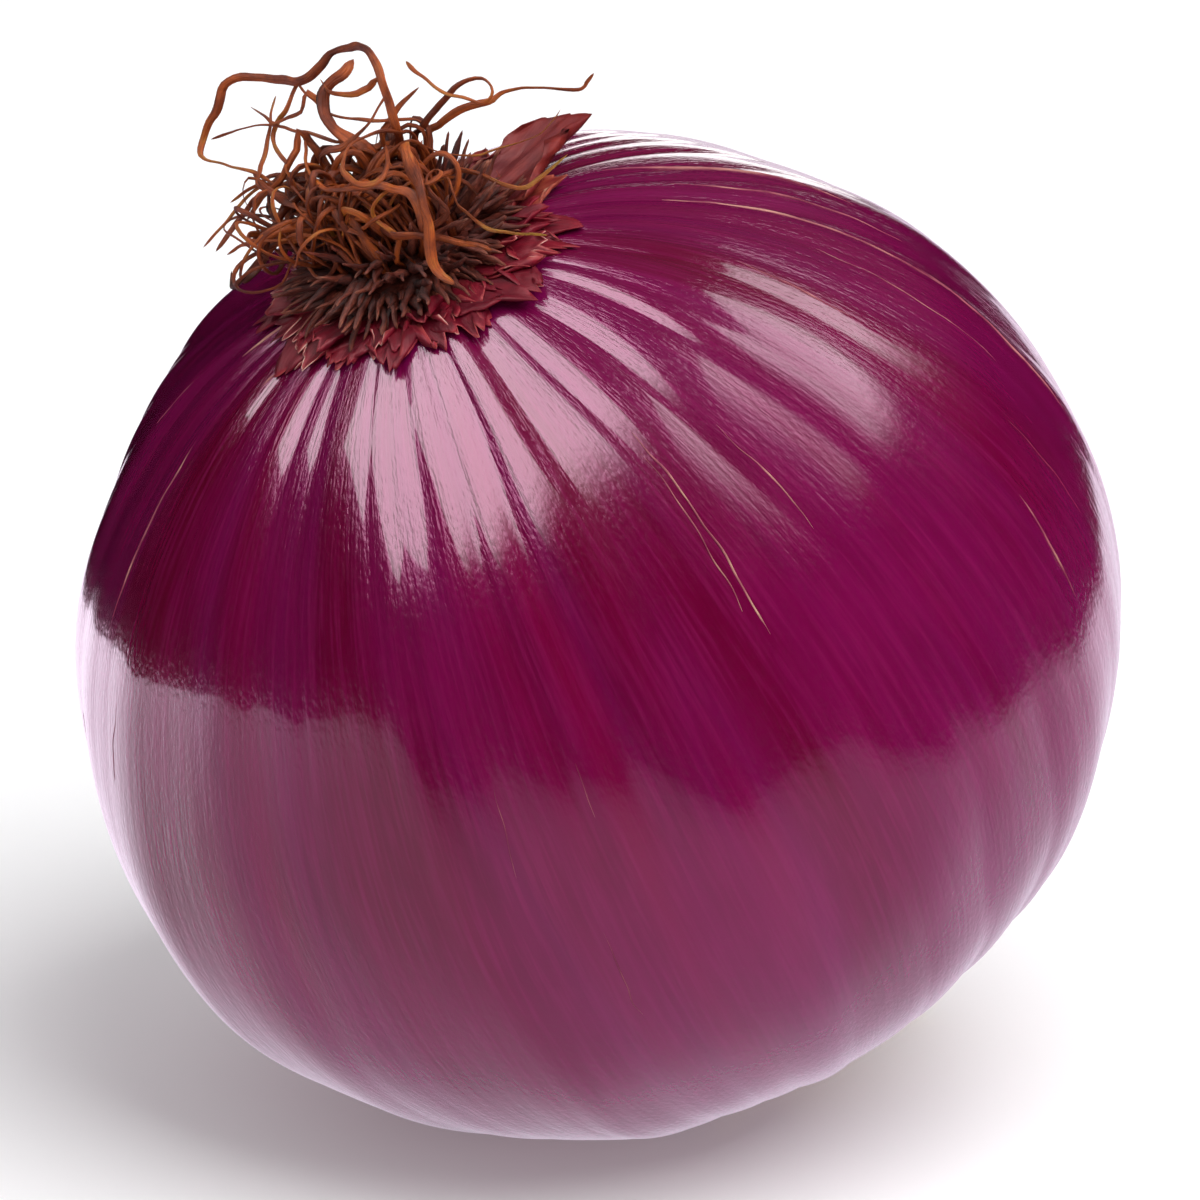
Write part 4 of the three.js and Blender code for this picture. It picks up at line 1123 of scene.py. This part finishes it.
def add_lamp(name, azimuth, elevation, distance, width, height, radiance):
    """A rectangular lamp that faces the bulb. Radiance is what a mirror would show of it."""
    azimuth, elevation = math.radians(azimuth), math.radians(elevation)
    towards = Vector((
        math.cos(azimuth) * math.cos(elevation), math.sin(azimuth) * math.cos(elevation), math.sin(elevation),
    ))
    lamp = bpy.data.lights.new(name, "AREA")
    lamp.shape = "RECTANGLE"
    lamp.size, lamp.size_y = width, height
    lamp.energy = radiance * math.pi * width * height
    placed = add_object(name, lamp)
    placed.location = Vector(CENTRE * MM) + towards * distance
    placed.rotation_mode = "QUATERNION"
    placed.rotation_quaternion = towards.to_track_quat("Z", "Y")
    placed.visible_camera = False
    return placed


def make_world():
    """White where the camera looks past the floor, soft grey light, and a dark room in the gloss."""
    world = bpy.data.worlds.new("studio")
    world.use_nodes = True
    nodes = Nodes(world.node_tree)
    paths = nodes.node("LightPath").outputs
    seen = nodes.mix(paths["Is Glossy Ray"], WORLD_LIGHT, WORLD_GLOSS)
    seen = nodes.mix(paths["Is Camera Ray"], seen, WORLD_WHITE)
    nodes.put(world.node_tree.nodes["Background"].inputs["Color"], seen)
    bpy.context.scene.world = world


def add_disc(name, points, rings, sides, material, tones=None):
    """A flat disc for the studio, with a tone at each point where the material wants one."""
    mesh = bpy.data.meshes.new(name)
    mesh.from_pydata(points, [], disc_faces(rings, sides))
    if tones:
        mesh.attributes.new("tone", "FLOAT", "POINT").data.foreach_set("value", tones)
    mesh.materials.append(material)
    return add_object(name, mesh)


def make_floor():
    """A round pale sweep just under the bulb, which the gloss doesn't see."""
    points = [(0, 0, 0)]
    for ring in FLOOR_RINGS:
        radius = FLOOR_RADIUS * ring
        points += [(radius * math.cos(turn), radius * math.sin(turn), 0) for turn in around(FLOOR_SIDES)]
    floor = add_disc("floor", points, len(FLOOR_RINGS), FLOOR_SIDES, floor_material())
    floor.location = (0, 0, -FLOOR_DROP)
    floor.visible_glossy = False


def make_table():
    """The pale table that only the gloss sees: shaded under the bulb, and fading past its edges."""
    edge = [Vector((x, y, 0)) * MM for x, y, _, _ in TABLE]
    shadow = [point.normalized() * TABLE_SHADOW_RADIUS * MM for point in edge]
    beyond = [point + point.normalized() * fade * MM for point, (_, _, _, fade) in zip(edge, TABLE)]
    tones = [TABLE_SHADOW[0]] + [TABLE_SHADOW[1]] * len(TABLE)
    tones += [radiance for _, _, radiance, _ in TABLE] + [0.0] * len(TABLE)
    points = [(0, 0, 0)] + shadow + edge + beyond
    table = add_disc("table", points, 3, len(TABLE), table_material(), tones)
    table.location = (0, 0, -TABLE_DROP)
    table.visible_camera = False
    table.visible_diffuse = False
    table.visible_shadow = False


bpy.context.scene.view_settings.view_transform = "Standard"
make_camera()
make_world()
make_floor()
make_table()
for softbox in SOFTBOXES:
    add_softbox(*softbox)
skin_piece()
creases()
crown()
stubs()
long_strands()
tangle()
torn_skin()
neck_stalk()
neck_sheets()
